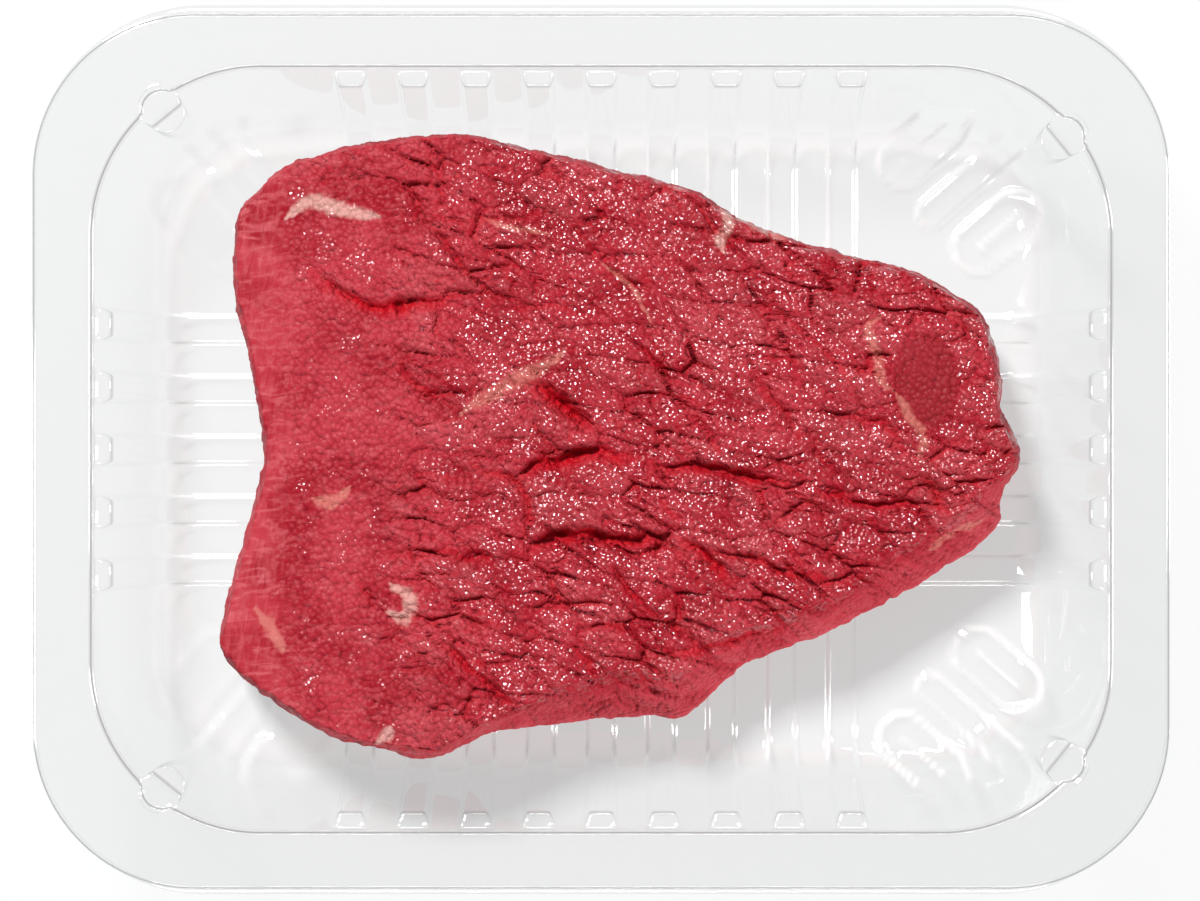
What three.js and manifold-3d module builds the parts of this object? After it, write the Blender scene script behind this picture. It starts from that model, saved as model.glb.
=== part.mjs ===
// A clear formed meat tray with one thick raw beef steak lying in it.
// Millimetres, +Z up. The origin is the middle of the base, and +X runs along the tray's long side.

import * as THREE from 'three';
import { mergeVertices } from 'three/addons/utils/BufferGeometryUtils.js';
import Module from 'manifold-3d';

const wasm = await Module();
wasm.setup();

// Driving dimensions of the tray
const TRAY_HEIGHT = 40;
const SHEET = 0.6;
const LIP = { length: 228, width: 178, corner: 34.5, drop: 1.2 };
const FLANGE = { length: 227.2, width: 174.8, corner: 32, shift: -0.4 };
const RIM = { length: 204.2, width: 153.4, corner: 34 };
const RIM_STEP = { inset: 0.5, drop: 1.2 };
const WALL_DRAFT = THREE.MathUtils.degToRad(14.6);
const FLOOR_TOP = SHEET;
const FLOOR_FILLET = 11;

// Driving dimensions of the ribs pressed into the walls and the floor
const RIB_PITCH = 12.6;
const END_RIB_COUNT = 5;
const SIDE_RIB_COUNT = 9;
const RIB_WIDTH = 6.8;
const RIB_CHAMFER = 1.1;
const RIB_SHELF = { inset: 3.8, top: 36.2, root: 38.4 };
const RIB_DRAFT = THREE.MathUtils.degToRad(12.5);
const RIB_FLOOR_TOP = 1.8;
const RIB_FILLET = 10;
const END_RIB_STOP = 57;

// Driving dimensions of the corners: oval pads on the floor's bend, and round stacking lugs at the rim
const PAD_RISE = 1.5;
const PAD_TOP = 11;
const PAD_PAIR = { x: 74.9, y: 54.8, spacing: 23.9, length: 20.5, width: 10.4 };
const PAD_CHANNEL = { length: 27, width: 5.6, outwards: 3 };
const PAD_TURN = { right: 41, left: 49 };
const LUG_RADIUS = 4.06;
const LUG_CHORD = 1.2;
const LUG_SEAT = TRAY_HEIGHT - 1.4;
const LUG_STEP = 34.5;
const LUG_SPOTS = { right: { x: 92.6, y: 62.5, turn: 39 }, left: { x: -87.8, y: 67.8, turn: 129 } };

// Driving dimensions of the steak
const STEAK_GAP = 0.3;
const STEAK_BOTTOM = RIB_FLOOR_TOP + STEAK_GAP;
const STEAK_EDGE = 26.1;
const STEAK_CROWN = 1.3;
const STEAK_AROUND = 30;

// The steak's side below its widest line, as rises above its base and insets
const STEAK_UNDER = [[0, 7], [1.9, 3], [5.4, 0.8], [9.9, 0]];

// The side above that line, as drops below the top face's edge and shares of the shoulder's inset
const STEAK_OVER = [[7.1, 0.45], [2.6, 0.8], [0, 1]];

// How far the top face's edge lies inside the outline, by direction in degrees from +X
const STEAK_SHOULDERS = [
  [-180, 3.5], [-130, 4], [-112, 5], [-100, 9], [-85, 10.5], [-70, 9.5], [-57, 8], [-43, 7.8],
  [-33, 7.2], [-28, 8.8], [-21, 12.5], [-16, 13], [-11, 10.5], [-7, 7], [-3, 4], [5, 3.5],
  [60, 4], [120, 4], [180, 3.5],
];

// The top face's gentle swell, and the flakes of its grain: their heights, sizes and the way each set runs
const SWELL = { height: 0.7, length: 17, width: 15 };
const FLAKES = { height: 0.8, length: 3.9, width: 3.4, lean: 0.84, level: 0.16, start: -48, full: -30 };

// The steak's outline from straight above, from its upper left corner on round to the right
const STEAK_OUTLINE = [
  [-75.5, 43.5], [-75, 48.5], [-69.5, 54.5], [-64, 59], [-55.5, 61.5], [-45.5, 63.5], [-30, 65],
  [-16.5, 62.5], [0, 58.5], [18.5, 53.5], [30, 47], [47.5, 41], [66, 36], [74, 31.5], [79.5, 26.5],
  [82.5, 13.5], [82.5, 8.5], [85.5, 2], [86.5, -3], [82.5, -10], [82, -15.5], [77, -20.5],
  [68, -26.5], [57.5, -32], [43.5, -39], [29, -45], [16.5, -55.5], [10.5, -55], [-8, -56.5],
  [-24.5, -59], [-34, -63.5], [-47.5, -61.5], [-55.5, -59], [-64, -54.5], [-76, -45], [-78.5, -41],
  [-78, -35], [-76, -27.5], [-72, -12.5], [-69.5, -2], [-70.5, 6.5], [-73, 20.5], [-75.5, 33],
];

// Each split in the top face: its route, and its width at the top and its depth at the middle
const SPLITS = [
  { route: [[-58, 37], [-54, 33], [-50, 30.5], [-43, 29.5], [-36, 31.5], [-27, 31]], width: 4, depth: 3.5 },
  { route: [[-46, 47.5], [-35.5, 48.5], [-24, 47.5], [-11, 49]], width: 2.6, depth: 2 },
  { route: [[-16.5, 13.5], [-11, 12.8], [-7.5, 9.5], [-4, 6.5], [-0.5, 5]], width: 6, depth: 6 },
  { route: [[-19, -6.5], [-12.5, -2.5], [-4, -1.2], [6, -1], [13, -3.5]], width: 4.5, depth: 4.5 },
  { route: [[15, -4], [25, -4], [32, -6], [41, -7.6], [49, -9.8], [53, -11]], width: 4, depth: 4 },
  { route: [[53, -10.5], [59, -9.5], [66, -11.5], [71.5, -13.5]], width: 3.5, depth: 3 },
  { route: [[-16.5, -20], [-11, -18.2], [-2, -17.2], [7, -18.2], [15.5, -17.8]], width: 5, depth: 5 },
  { route: [[17, -18.5], [24.5, -22], [33.5, -23.8], [41.5, -25], [49, -28]], width: 4, depth: 4 },
  { route: [[-45, -21.5], [-34, -20.8], [-26.5, -21.5], [-20, -25.5]], width: 3.2, depth: 2.6 },
  { route: [[-41.5, 19.5], [-35.5, 13], [-29, 11.5], [-22.5, 12.2]], width: 3.4, depth: 2.6 },
  { route: [[-27, 0.5], [-22, -5.5], [-15.6, -9], [-14.6, -16]], width: 3.2, depth: 2.6 },
  { route: [[31, 13.5], [37.5, 7], [40, 2.2], [44.5, -2], [47.5, -4.5]], width: 3.6, depth: 3 },
  { route: [[37, 27], [42, 23.5], [45.5, 20], [49.5, 14.5], [53, 8.5], [54.5, 6]], width: 3.4, depth: 2.6 },
  { route: [[41, 9.5], [47, 7.2], [54.5, 6], [60, 1], [64.5, -3.2]], width: 3.2, depth: 2.8 },
  { route: [[2, -23.5], [5, -27.5], [8, -31], [12.5, -35.5]], width: 3, depth: 2.4 },
  { route: [[-35, -38], [-31, -39.5], [-25, -45], [-19, -51], [-15, -53.5]], width: 3.4, depth: 2.8 },
];

// Names and finishes
const TRAY_FINISH = { color: 0xeef1f2, roughness: 0.08, metalness: 0, transparent: true, opacity: 0.35 };
const STEAK_FINISH = { color: 0xb03a46, roughness: 0.38, metalness: 0 };

// Fineness of the round shapes
const CORNER_STEPS = 6;
const FILLET_STEPS = 3;
const ROUND_STEPS = 14;
const PAD_END_STEPS = 4;
const INNERMOST = 8;
const SLIVER = 0.04;
const SAME_PLACE = 1e-4;

// Heights well clear of the tray, between which the cutting solids run
const WELL_BELOW = -20;
const RIB_BELOW = -10;
const WELL_ABOVE = 60;
const OUTSIDE = 2;

// How steeply a rib's shelf goes on behind the wall, as a share of its own slope
const BEHIND_SLOPE = 0.2;

// How far a split's cutting wedge reaches above the steak, and how it tapers towards its ends
const SPLIT_ABOVE = 7.4;
const SPLIT_TIP = 0.12;
const SPLIT_FADE = 0.6;

// How sharply the crown and the swell of the top face end at its edge
const CROWN_EDGE = 4;
const SWELL_EDGE = 8;

// How far past the bend the floor's level stretch is drawn, so that its offset stays level
const LEVEL_START = 1;

// Turns a closed geometry into a solid that can be joined and cut
function solidOf(geometry) {
  const bare = new THREE.BufferGeometry();
  bare.setAttribute('position', geometry.getAttribute('position'));
  if (geometry.index) bare.setIndex(geometry.index);
  const merged = mergeVertices(bare, SAME_PLACE);
  return new wasm.Manifold(new wasm.Mesh({
    numProp: 3,
    vertProperties: new Float32Array(merged.getAttribute('position').array),
    triVerts: new Uint32Array(merged.index.array),
  }));
}

// Turns a solid back into a geometry, without slivers
function geometryOf(solid) {
  const mesh = solid.simplify(SLIVER).getMesh();
  const geometry = new THREE.BufferGeometry();
  geometry.setAttribute('position', new THREE.BufferAttribute(new Float32Array(mesh.vertProperties), 3));
  geometry.setIndex(new THREE.BufferAttribute(new Uint32Array(mesh.triVerts), 1));
  geometry.computeVertexNormals();
  return geometry;
}

// A rectangle with round corners, drawn in by an inset, counter-clockwise
function roundedRectangle({ length, width, corner, shift = 0 }, inset) {
  const radius = corner - inset;
  const reachX = length / 2 - corner;
  const reachY = width / 2 - corner;
  const points = [];
  for (const [signX, signY, start] of [[1, 1, 0], [-1, 1, 90], [-1, -1, 180], [1, -1, 270]]) {
    for (let step = 0; step <= CORNER_STEPS; step += 1) {
      const angle = THREE.MathUtils.degToRad(start + (90 * step) / CORNER_STEPS);
      const x = signX * reachX + radius * Math.cos(angle);
      const y = signY * reachY + radius * Math.sin(angle) + shift;
      points.push(new THREE.Vector2(x, y));
    }
  }
  return points;
}

// A flat-topped solid of an outline, between two heights
function slab(points, bottom, top) {
  const options = { depth: top - bottom, bevelEnabled: false, curveSegments: ROUND_STEPS };
  const geometry = new THREE.ExtrudeGeometry(new THREE.Shape(points), options);
  geometry.translate(0, 0, bottom);
  return solidOf(geometry);
}

// An upright round column between two heights
function column({ x, y }, radius, bottom, top) {
  const geometry = new THREE.CylinderGeometry(radius, radius, top - bottom, ROUND_STEPS);
  geometry.rotateX(Math.PI / 2);
  geometry.translate(x, y, (top + bottom) / 2);
  return solidOf(geometry);
}

// The bend between a sloping wall and a level floor, as [inset, height] points from the wall down
function bend(startInset, startHeight, draft, floor, radius) {
  const foot = startInset + (startHeight - floor) * Math.tan(draft);
  const tangent = radius * Math.tan((Math.PI / 2 - draft) / 2);
  const sweep = Math.PI / 2 - draft;
  const points = [];
  for (let step = 0; step <= FILLET_STEPS; step += 1) {
    const angle = sweep * (1 - step / FILLET_STEPS);
    const inset = foot + tangent - radius * Math.sin(angle);
    points.push([inset, floor + radius * (1 - Math.cos(angle))]);
  }
  points.push([foot + tangent + LEVEL_START, floor]);
  return points;
}

// Moves a profile of [inset, height] points out of the tray by an offset, square to its own line
function offsetProfile(points, offset) {
  return points.map(([inset, height], index) => {
    const before = points[Math.max(index - 1, 0)];
    const after = points[Math.min(index + 1, points.length - 1)];
    const into = new THREE.Vector2(inset - before[0], height - before[1]).normalize();
    const out = new THREE.Vector2(after[0] - inset, after[1] - height).normalize();
    if (into.length() === 0) into.copy(out);
    if (out.length() === 0) out.copy(into);
    const normalIn = new THREE.Vector2(into.y, -into.x);
    const normalOut = new THREE.Vector2(out.y, -out.x);
    const along = normalIn.clone().add(normalOut).normalize();
    const stretch = offset / along.dot(normalIn);
    return [inset + along.x * stretch, height + along.y * stretch];
  });
}

// The tray's wall from the rim down to the floor, as [inset, height] points
function wallProfile(offset) {
  const start = TRAY_HEIGHT - RIM_STEP.drop;
  const points = [
    [0, WELL_ABOVE],
    [0, TRAY_HEIGHT],
    [RIM_STEP.inset, start],
    ...bend(RIM_STEP.inset, start, WALL_DRAFT, FLOOR_TOP, FLOOR_FILLET),
  ];
  return offsetProfile(points, offset);
}

// The hollow inside the tray without its ribs, grown by an offset
function hollow(offset) {
  const rings = wallProfile(offset).map(([inset, height]) => (
    roundedRectangle(RIM, inset).map((point) => new THREE.Vector3(point.x, point.y, height))
  ));
  return solidOf(loft(rings));
}

// A closed skin through rings of points, all counter-clockwise, from the top ring to the bottom ring
function loft(rings) {
  const count = rings[0].length;
  const vertices = rings.flat().flatMap((point) => point.toArray());
  const faces = [];
  for (let ring = 0; ring + 1 < rings.length; ring += 1) {
    for (let step = 0; step < count; step += 1) {
      const next = (step + 1) % count;
      const [upper, upperNext] = [ring * count + step, ring * count + next];
      const [lower, lowerNext] = [upper + count, upperNext + count];
      faces.push(upper, lower, lowerNext, upper, lowerNext, upperNext);
    }
  }
  const last = (rings.length - 1) * count;
  for (let step = 1; step + 1 < count; step += 1) {
    faces.push(0, step, step + 1, last, last + step + 1, last + step);
  }
  const geometry = new THREE.BufferGeometry();
  geometry.setAttribute('position', new THREE.Float32BufferAttribute(vertices, 3));
  geometry.setIndex(faces);
  return geometry;
}

// A rib's line from behind the wall, over its shelf and down its face to the floor rib
function ribProfile(offset) {
  const slope = (RIB_SHELF.root - RIB_SHELF.top) / RIB_SHELF.inset;
  const points = [
    [-OUTSIDE, RIB_SHELF.root + OUTSIDE * slope * BEHIND_SLOPE],
    [RIB_SHELF.inset, RIB_SHELF.top],
    ...bend(RIB_SHELF.inset, RIB_SHELF.top, RIB_DRAFT, RIB_FLOOR_TOP, RIB_FILLET),
  ];
  return offsetProfile(points, offset);
}

// A rib from its outline in the upright plane, with its two sides chamfered
function ribSolid(outline, offset) {
  const width = RIB_WIDTH - 2 * offset;
  const depth = width - 2 * RIB_CHAMFER;
  const geometry = new THREE.ExtrudeGeometry(new THREE.Shape(outline), {
    depth,
    bevelEnabled: true,
    bevelThickness: RIB_CHAMFER,
    bevelSize: RIB_CHAMFER,
    bevelOffset: -RIB_CHAMFER,
    bevelSegments: 1,
  });
  geometry.translate(0, 0, -depth / 2);
  return geometry;
}

// A rib that runs up one long wall, across the floor and up the other
function sideRib(x, offset) {
  const profile = ribProfile(offset);
  const far = profile.map(([inset, height]) => new THREE.Vector2(RIM.width / 2 - inset, height));
  const near = profile.map(([inset, height]) => new THREE.Vector2(inset - RIM.width / 2, height)).reverse();
  const reach = RIM.width / 2 + OUTSIDE;
  const base = [new THREE.Vector2(-reach, RIB_BELOW), new THREE.Vector2(reach, RIB_BELOW)];
  const geometry = ribSolid([...base, ...far, ...near], offset);
  const turn = new THREE.Matrix4().makeBasis(
    new THREE.Vector3(0, 1, 0), new THREE.Vector3(0, 0, 1), new THREE.Vector3(1, 0, 0),
  );
  geometry.applyMatrix4(turn);
  geometry.translate(x, 0, 0);
  return solidOf(geometry);
}

// A rib that runs up an end wall, from where it stops on the floor; side is 1 on the right, -1 on the left
function endRib(side, y, offset) {
  const stop = END_RIB_STOP + offset;
  const wall = ribProfile(offset).map(([inset, height]) => new THREE.Vector2(RIM.length / 2 - inset, height));
  const outline = [
    new THREE.Vector2(stop, RIB_BELOW),
    new THREE.Vector2(RIM.length / 2 + OUTSIDE, RIB_BELOW),
    ...wall,
    new THREE.Vector2(stop, RIB_FLOOR_TOP - offset),
  ];
  const geometry = ribSolid(outline, offset);
  const turn = new THREE.Matrix4().makeBasis(
    new THREE.Vector3(1, 0, 0), new THREE.Vector3(0, 0, 1), new THREE.Vector3(0, -1, 0),
  );
  geometry.applyMatrix4(turn);
  geometry.rotateZ(side > 0 ? 0 : Math.PI);
  geometry.translate(0, y, 0);
  return solidOf(geometry);
}

// All ribs, each drawn in by an offset
function ribs(offset) {
  const solids = [];
  for (let index = 0; index < SIDE_RIB_COUNT; index += 1) {
    solids.push(sideRib((index - (SIDE_RIB_COUNT - 1) / 2) * RIB_PITCH, offset));
  }
  for (const side of [1, -1]) {
    for (let index = 0; index < END_RIB_COUNT; index += 1) {
      solids.push(endRib(side, (index - (END_RIB_COUNT - 1) / 2) * RIB_PITCH, offset));
    }
  }
  return solids;
}

// The outline of an oval pad, with straight sides along its turn
function ovalOutline({ x, y, length, width, turn }) {
  const radius = width / 2;
  const reach = length / 2 - radius;
  const middle = new THREE.Vector2(0, 0);
  const points = [];
  for (const [side, start] of [[1, -90], [-1, 90]]) {
    for (let step = 0; step <= PAD_END_STEPS; step += 1) {
      const angle = THREE.MathUtils.degToRad(start + (180 * step) / PAD_END_STEPS);
      const point = new THREE.Vector2(side * reach + radius * Math.cos(angle), radius * Math.sin(angle));
      point.rotateAround(middle, THREE.MathUtils.degToRad(turn));
      points.push(point.add(new THREE.Vector2(x, y)));
    }
  }
  return points;
}

// The pads in one corner, as ovals: two wide ones and the narrow one between them
function cornerPads(signX, signY) {
  const turn = signX > 0 ? PAD_TURN.right : PAD_TURN.left;
  const along = THREE.MathUtils.degToRad(turn);
  const across = along + Math.PI / 2;
  const pads = [-1, 0, 1].map((place) => {
    const shift = (place * PAD_PAIR.spacing) / 2;
    const size = place === 0 ? PAD_CHANNEL : PAD_PAIR;
    const out = place === 0 ? PAD_CHANNEL.outwards : 0;
    return {
      x: signX * (PAD_PAIR.x + shift * Math.cos(across) + out * Math.cos(along)),
      y: signY * (PAD_PAIR.y + shift * Math.sin(across) + out * Math.sin(along)),
      length: size.length,
      width: size.width,
      turn: signX * signY > 0 ? turn : -turn,
    };
  });
  return pads;
}

// All pads: ovals of the tray's own surface, raised, and drawn in by an offset
function pads(offset) {
  const raised = slab(roundedRectangle(RIM, 0), RIB_BELOW, TRAY_HEIGHT).subtract(hollow(offset - PAD_RISE));
  const solids = [];
  for (const signX of [1, -1]) {
    for (const signY of [1, -1]) {
      for (const pad of cornerPads(signX, signY)) {
        const oval = { ...pad, length: pad.length - 2 * offset, width: pad.width - 2 * offset };
        solids.push(slab(ovalOutline(oval), RIB_BELOW, PAD_TOP - offset).intersect(raised));
      }
    }
  }
  return solids;
}

// The four lugs' places, each with the direction that it faces out of the tray
function lugSpots() {
  return Object.values(LUG_SPOTS).flatMap(({ x, y, turn }) => [
    { x, y, turn },
    { x, y: -y, turn: -turn },
  ]);
}

// Cuts a lug's round seat into the rim and stands its lower step on the wall below
function withLug(body, spot, offset) {
  const seat = LUG_SEAT - offset;
  const narrow = LUG_RADIUS - offset;
  const cleared = body.subtract(column(spot, LUG_RADIUS + offset, seat, WELL_ABOVE));
  const [deep, wide, high] = [2 * LUG_RADIUS, 4 * LUG_RADIUS, 2 * TRAY_HEIGHT];
  const outer = new THREE.BoxGeometry(deep, wide, high);
  outer.translate(LUG_RADIUS - LUG_CHORD + offset, 0, 0);
  outer.rotateZ(THREE.MathUtils.degToRad(spot.turn));
  outer.translate(spot.x, spot.y, 0);
  const upper = column(spot, narrow, RIB_BELOW, seat).intersect(solidOf(outer));
  return cleared.add(upper).add(column(spot, narrow, RIB_BELOW, LUG_STEP - offset));
}

// Everything below the tray's upper face, lowered by an offset
function under(offset) {
  const grow = offset > 0 ? -OUTSIDE : 0;
  const lip = slab(roundedRectangle(LIP, grow), WELL_BELOW, TRAY_HEIGHT - LIP.drop - offset);
  const flange = slab(roundedRectangle(FLANGE, offset), WELL_BELOW, TRAY_HEIGHT - offset);
  let body = lip.add(flange).subtract(hollow(offset));
  for (const piece of [...ribs(offset), ...pads(offset)]) body = body.add(piece);
  for (const spot of lugSpots()) body = withLug(body, spot, offset);
  return body;
}

// The formed tray: what lies between its upper face and the same face lowered by the sheet
function trayGeometry() {
  const rounded = slab(roundedRectangle(LIP, 0), WELL_BELOW * 2, WELL_ABOVE);
  return geometryOf(under(0).subtract(under(SHEET)).intersect(rounded));
}

// The outline as one smooth closed curve
const steakCurve = new THREE.CatmullRomCurve3(
  STEAK_OUTLINE.map(([x, y]) => new THREE.Vector3(x, y, 0)), true, 'centripetal',
);

// Points of the outline drawn in by an inset towards the middle, clockwise from above
function steakRing(count, insetAt, height) {
  return steakCurve.getSpacedPoints(count).slice(0, count).map((point) => {
    const reach = Math.hypot(point.x, point.y);
    const inset = insetAt(THREE.MathUtils.radToDeg(Math.atan2(point.y, point.x)));
    return new THREE.Vector3(point.x, point.y, 0).multiplyScalar(1 - inset / reach).setZ(height);
  });
}

// How far the top face's edge lies inside the outline in a direction, smoothly between the table's rows
function shoulderInset(direction) {
  const next = STEAK_SHOULDERS.findIndex(([angle]) => angle > direction);
  const [[from, low], [to, high]] = [STEAK_SHOULDERS.at(next - 1), STEAK_SHOULDERS.at(next)];
  return THREE.MathUtils.lerp(low, high, THREE.MathUtils.smoothstep(direction, from, to));
}

// The steak's rounded side as rings from its base to its top edge
function steakSideRings(count) {
  const under = STEAK_UNDER.map(([rise, inset]) => steakRing(count, () => inset, STEAK_BOTTOM + rise));
  const over = STEAK_OVER.map(([drop, share]) => (
    steakRing(count, (direction) => share * shoulderInset(direction), STEAK_EDGE - drop)
  ));
  return [...under, ...over];
}

// The gentle swell of the top face, and the flakes of the coarse grain right of its smooth left part
function topSwell(x, y) {
  const broad = SWELL.height * Math.sin(x / SWELL.length + 1) * Math.cos(y / SWELL.width - 1);
  const across = Math.sin((x + FLAKES.lean * y) / FLAKES.length);
  const along = Math.sin((y + FLAKES.level * x) / FLAKES.width);
  return broad + FLAKES.height * across * along * THREE.MathUtils.smoothstep(x, FLAKES.start, FLAKES.full);
}

// The top face inside its edge: square rings, each with one step fewer in each half side than the last
function steakTopRings(edge) {
  const layers = STEAK_AROUND / 2;
  const rings = [];
  for (let layer = layers - 1; layer >= 1; layer -= 1) {
    const share = layer / layers;
    const number = INNERMOST * layer;
    const ring = [];
    for (let step = 0; step < number; step += 1) {
      const place = (step / number) * edge.length;
      const from = edge[Math.floor(place)];
      const to = edge[Math.ceil(place) % edge.length];
      const point = from.clone().lerp(to, place % 1).multiplyScalar(share);
      const crown = STEAK_CROWN * (1 - share ** CROWN_EDGE);
      const swell = topSwell(point.x, point.y) * (1 - share ** SWELL_EDGE);
      ring.push(point.setZ(STEAK_EDGE + crown + swell));
    }
    rings.push(ring);
  }
  return rings;
}

// The uncut steak: its side rings, a top face of square rings, and a flat base
function steakBody() {
  const side = steakSideRings(4 * STEAK_AROUND);
  const top = steakTopRings(side.at(-1));
  const vertices = [];
  const faces = [];
  const starts = [];
  for (const ring of [...side, ...top]) {
    starts.push(vertices.length);
    vertices.push(...ring);
  }
  joinEvenRings(faces, starts, side);
  joinSquareRings(faces, starts.slice(side.length - 1), STEAK_AROUND / 2);
  closeTop(vertices, faces, starts.at(-1));
  closeBase(vertices, faces, side[0]);
  const geometry = new THREE.BufferGeometry();
  const numbers = vertices.flatMap((vertex) => vertex.toArray());
  geometry.setAttribute('position', new THREE.Float32BufferAttribute(numbers, 3));
  geometry.setIndex(faces);
  return solidOf(geometry);
}

// Faces between neighbouring rings of the same count, which run clockwise from above
function joinEvenRings(faces, starts, rings) {
  for (let ring = 0; ring + 1 < rings.length; ring += 1) {
    const count = rings[ring].length;
    for (let step = 0; step < count; step += 1) {
      const next = (step + 1) % count;
      const [low, lowNext] = [starts[ring] + step, starts[ring] + next];
      const [high, highNext] = [starts[ring + 1] + step, starts[ring + 1] + next];
      faces.push(low, high, highNext, low, highNext, lowNext);
    }
  }
}

// Faces between square rings: each side has two steps fewer than the same side of the ring outside it
function joinSquareRings(faces, starts, layers) {
  for (let index = 0; index + 1 < starts.length; index += 1) {
    const outerSide = 2 * (layers - index);
    const innerSide = outerSide - 2;
    const outerAt = (quarter, step) => starts[index] + ((quarter * outerSide + step) % (4 * outerSide));
    const innerAt = (quarter, step) => starts[index + 1] + ((quarter * innerSide + step) % (4 * innerSide));
    for (let quarter = 0; quarter < 4; quarter += 1) {
      faces.push(outerAt(quarter + 3, outerSide - 1), innerAt(quarter, 0), outerAt(quarter, 0));
      faces.push(outerAt(quarter, 0), innerAt(quarter, 0), outerAt(quarter, 1));
      for (let step = 0; step < innerSide; step += 1) {
        faces.push(outerAt(quarter, step + 1), innerAt(quarter, step), outerAt(quarter, step + 2));
        faces.push(outerAt(quarter, step + 2), innerAt(quarter, step), innerAt(quarter, step + 1));
      }
    }
  }
}

// Closes the top face's innermost ring round its middle
function closeTop(vertices, faces, start) {
  vertices.push(new THREE.Vector3(0, 0, STEAK_EDGE + STEAK_CROWN + topSwell(0, 0)));
  for (let step = 0; step < INNERMOST; step += 1) {
    faces.push(start + step, vertices.length - 1, start + ((step + 1) % INNERMOST));
  }
}

// Closes the flat base as a fan round its middle
function closeBase(vertices, faces, edge) {
  vertices.push(new THREE.Vector3(0, 0, STEAK_BOTTOM));
  for (let step = 0; step < edge.length; step += 1) {
    faces.push(step, (step + 1) % edge.length, vertices.length - 1);
  }
}

// A wedge-shaped cut that follows a route over the top face and tapers out at both ends
function splitSolid({ route, width, depth }) {
  const stations = 2 * route.length;
  const level = STEAK_EDGE + STEAK_CROWN;
  const above = level + SPLIT_ABOVE;
  const path = new THREE.CatmullRomCurve3(route.map(([x, y]) => new THREE.Vector3(x, y, 0)));
  const vertices = [];
  const faces = [];
  for (let station = 0; station <= stations; station += 1) {
    const share = station / stations;
    const point = path.getPointAt(share);
    const along = path.getTangentAt(share);
    const taper = Math.max(SPLIT_TIP, Math.sin(Math.PI * share) ** SPLIT_FADE);
    const tip = level - depth * taper;
    const half = (width * taper) / 2;
    const spread = half * ((above - tip) / (level - tip));
    vertices.push([point.x - along.y * spread, point.y + along.x * spread, above]);
    vertices.push([point.x + along.y * spread, point.y - along.x * spread, above]);
    vertices.push([point.x, point.y, tip]);
  }
  for (let station = 0; station < stations; station += 1) {
    const [left, right, tip] = [3 * station, 3 * station + 1, 3 * station + 2];
    faces.push(left, right, left + 3, right, right + 3, left + 3);
    faces.push(right, tip, right + 3, tip, tip + 3, right + 3);
    faces.push(tip, left, tip + 3, left, left + 3, tip + 3);
  }
  const last = 3 * stations;
  faces.push(0, 2, 1, last, last + 1, last + 2);
  const geometry = new THREE.BufferGeometry();
  geometry.setAttribute('position', new THREE.Float32BufferAttribute(vertices.flat(), 3));
  geometry.setIndex(faces);
  return solidOf(geometry);
}

// The steak with its splits cut into the top face
function steakGeometry() {
  let body = steakBody();
  for (const split of SPLITS) body = body.subtract(splitSolid(split));
  return geometryOf(body);
}

const pack = new THREE.Group();
const pieces = [
  ['tray', trayGeometry(), TRAY_FINISH],
  ['steak', steakGeometry(), STEAK_FINISH],
];
for (const [name, geometry, finish] of pieces) {
  const mesh = new THREE.Mesh(geometry, new THREE.MeshStandardMaterial(finish));
  mesh.name = name;
  pack.add(mesh);
}

export default pack;
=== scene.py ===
"""A clear formed meat tray with one thick raw beef steak in it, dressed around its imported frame."""

import logging
import math
from dataclasses import dataclass, field
from enum import Enum
from functools import partial

import bpy
import numpy as np
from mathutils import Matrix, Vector


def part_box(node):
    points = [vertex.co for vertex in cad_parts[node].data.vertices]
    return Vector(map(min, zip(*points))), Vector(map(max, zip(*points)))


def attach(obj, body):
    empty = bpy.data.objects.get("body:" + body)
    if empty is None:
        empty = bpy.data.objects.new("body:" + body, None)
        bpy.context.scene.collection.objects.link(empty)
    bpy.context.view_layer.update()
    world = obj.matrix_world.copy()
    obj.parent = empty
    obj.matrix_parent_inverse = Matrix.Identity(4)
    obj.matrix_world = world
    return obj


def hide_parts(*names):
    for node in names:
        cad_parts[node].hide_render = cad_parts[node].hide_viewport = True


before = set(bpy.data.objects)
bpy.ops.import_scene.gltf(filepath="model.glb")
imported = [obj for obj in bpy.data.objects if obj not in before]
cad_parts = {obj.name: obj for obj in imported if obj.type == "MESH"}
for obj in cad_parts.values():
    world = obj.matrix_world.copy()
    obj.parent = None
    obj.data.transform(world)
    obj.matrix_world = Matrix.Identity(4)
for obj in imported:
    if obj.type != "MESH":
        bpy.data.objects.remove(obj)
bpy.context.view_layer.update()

MM = 0.001
BODY = "root"
LOG = logging.getLogger("meat_tray_pack")

Colour = tuple[float, float, float, float]
Route = tuple[tuple[float, float], ...]


class Corner(Enum):
    """The tray's four corners, as the signs of X and Y."""

    RIGHT_BACK = (1, 1)
    LEFT_BACK = (-1, 1)
    LEFT_FRONT = (-1, -1)
    RIGHT_FRONT = (1, -1)


class Side(Enum):
    """The tray's four sides, as the direction that each faces."""

    RIGHT = (1, 0)
    BACK = (0, 1)
    LEFT = (-1, 0)
    FRONT = (0, -1)


def tone(red: int, green: int, blue: int) -> Colour:
    """A colour as the renderer's linear light.

    Args:
        red: display red, 0 to 255.
        green: display green, 0 to 255.
        blue: display blue, 0 to 255.

    Returns:
        Linear red, green and blue, and full alpha.
    """
    linear = []
    for value in (red, green, blue):
        share = value / 255
        linear.append(share / 12.92 if share <= 0.04045 else ((share + 0.055) / 1.055) ** 2.4)
    return (linear[0], linear[1], linear[2], 1.0)


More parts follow.
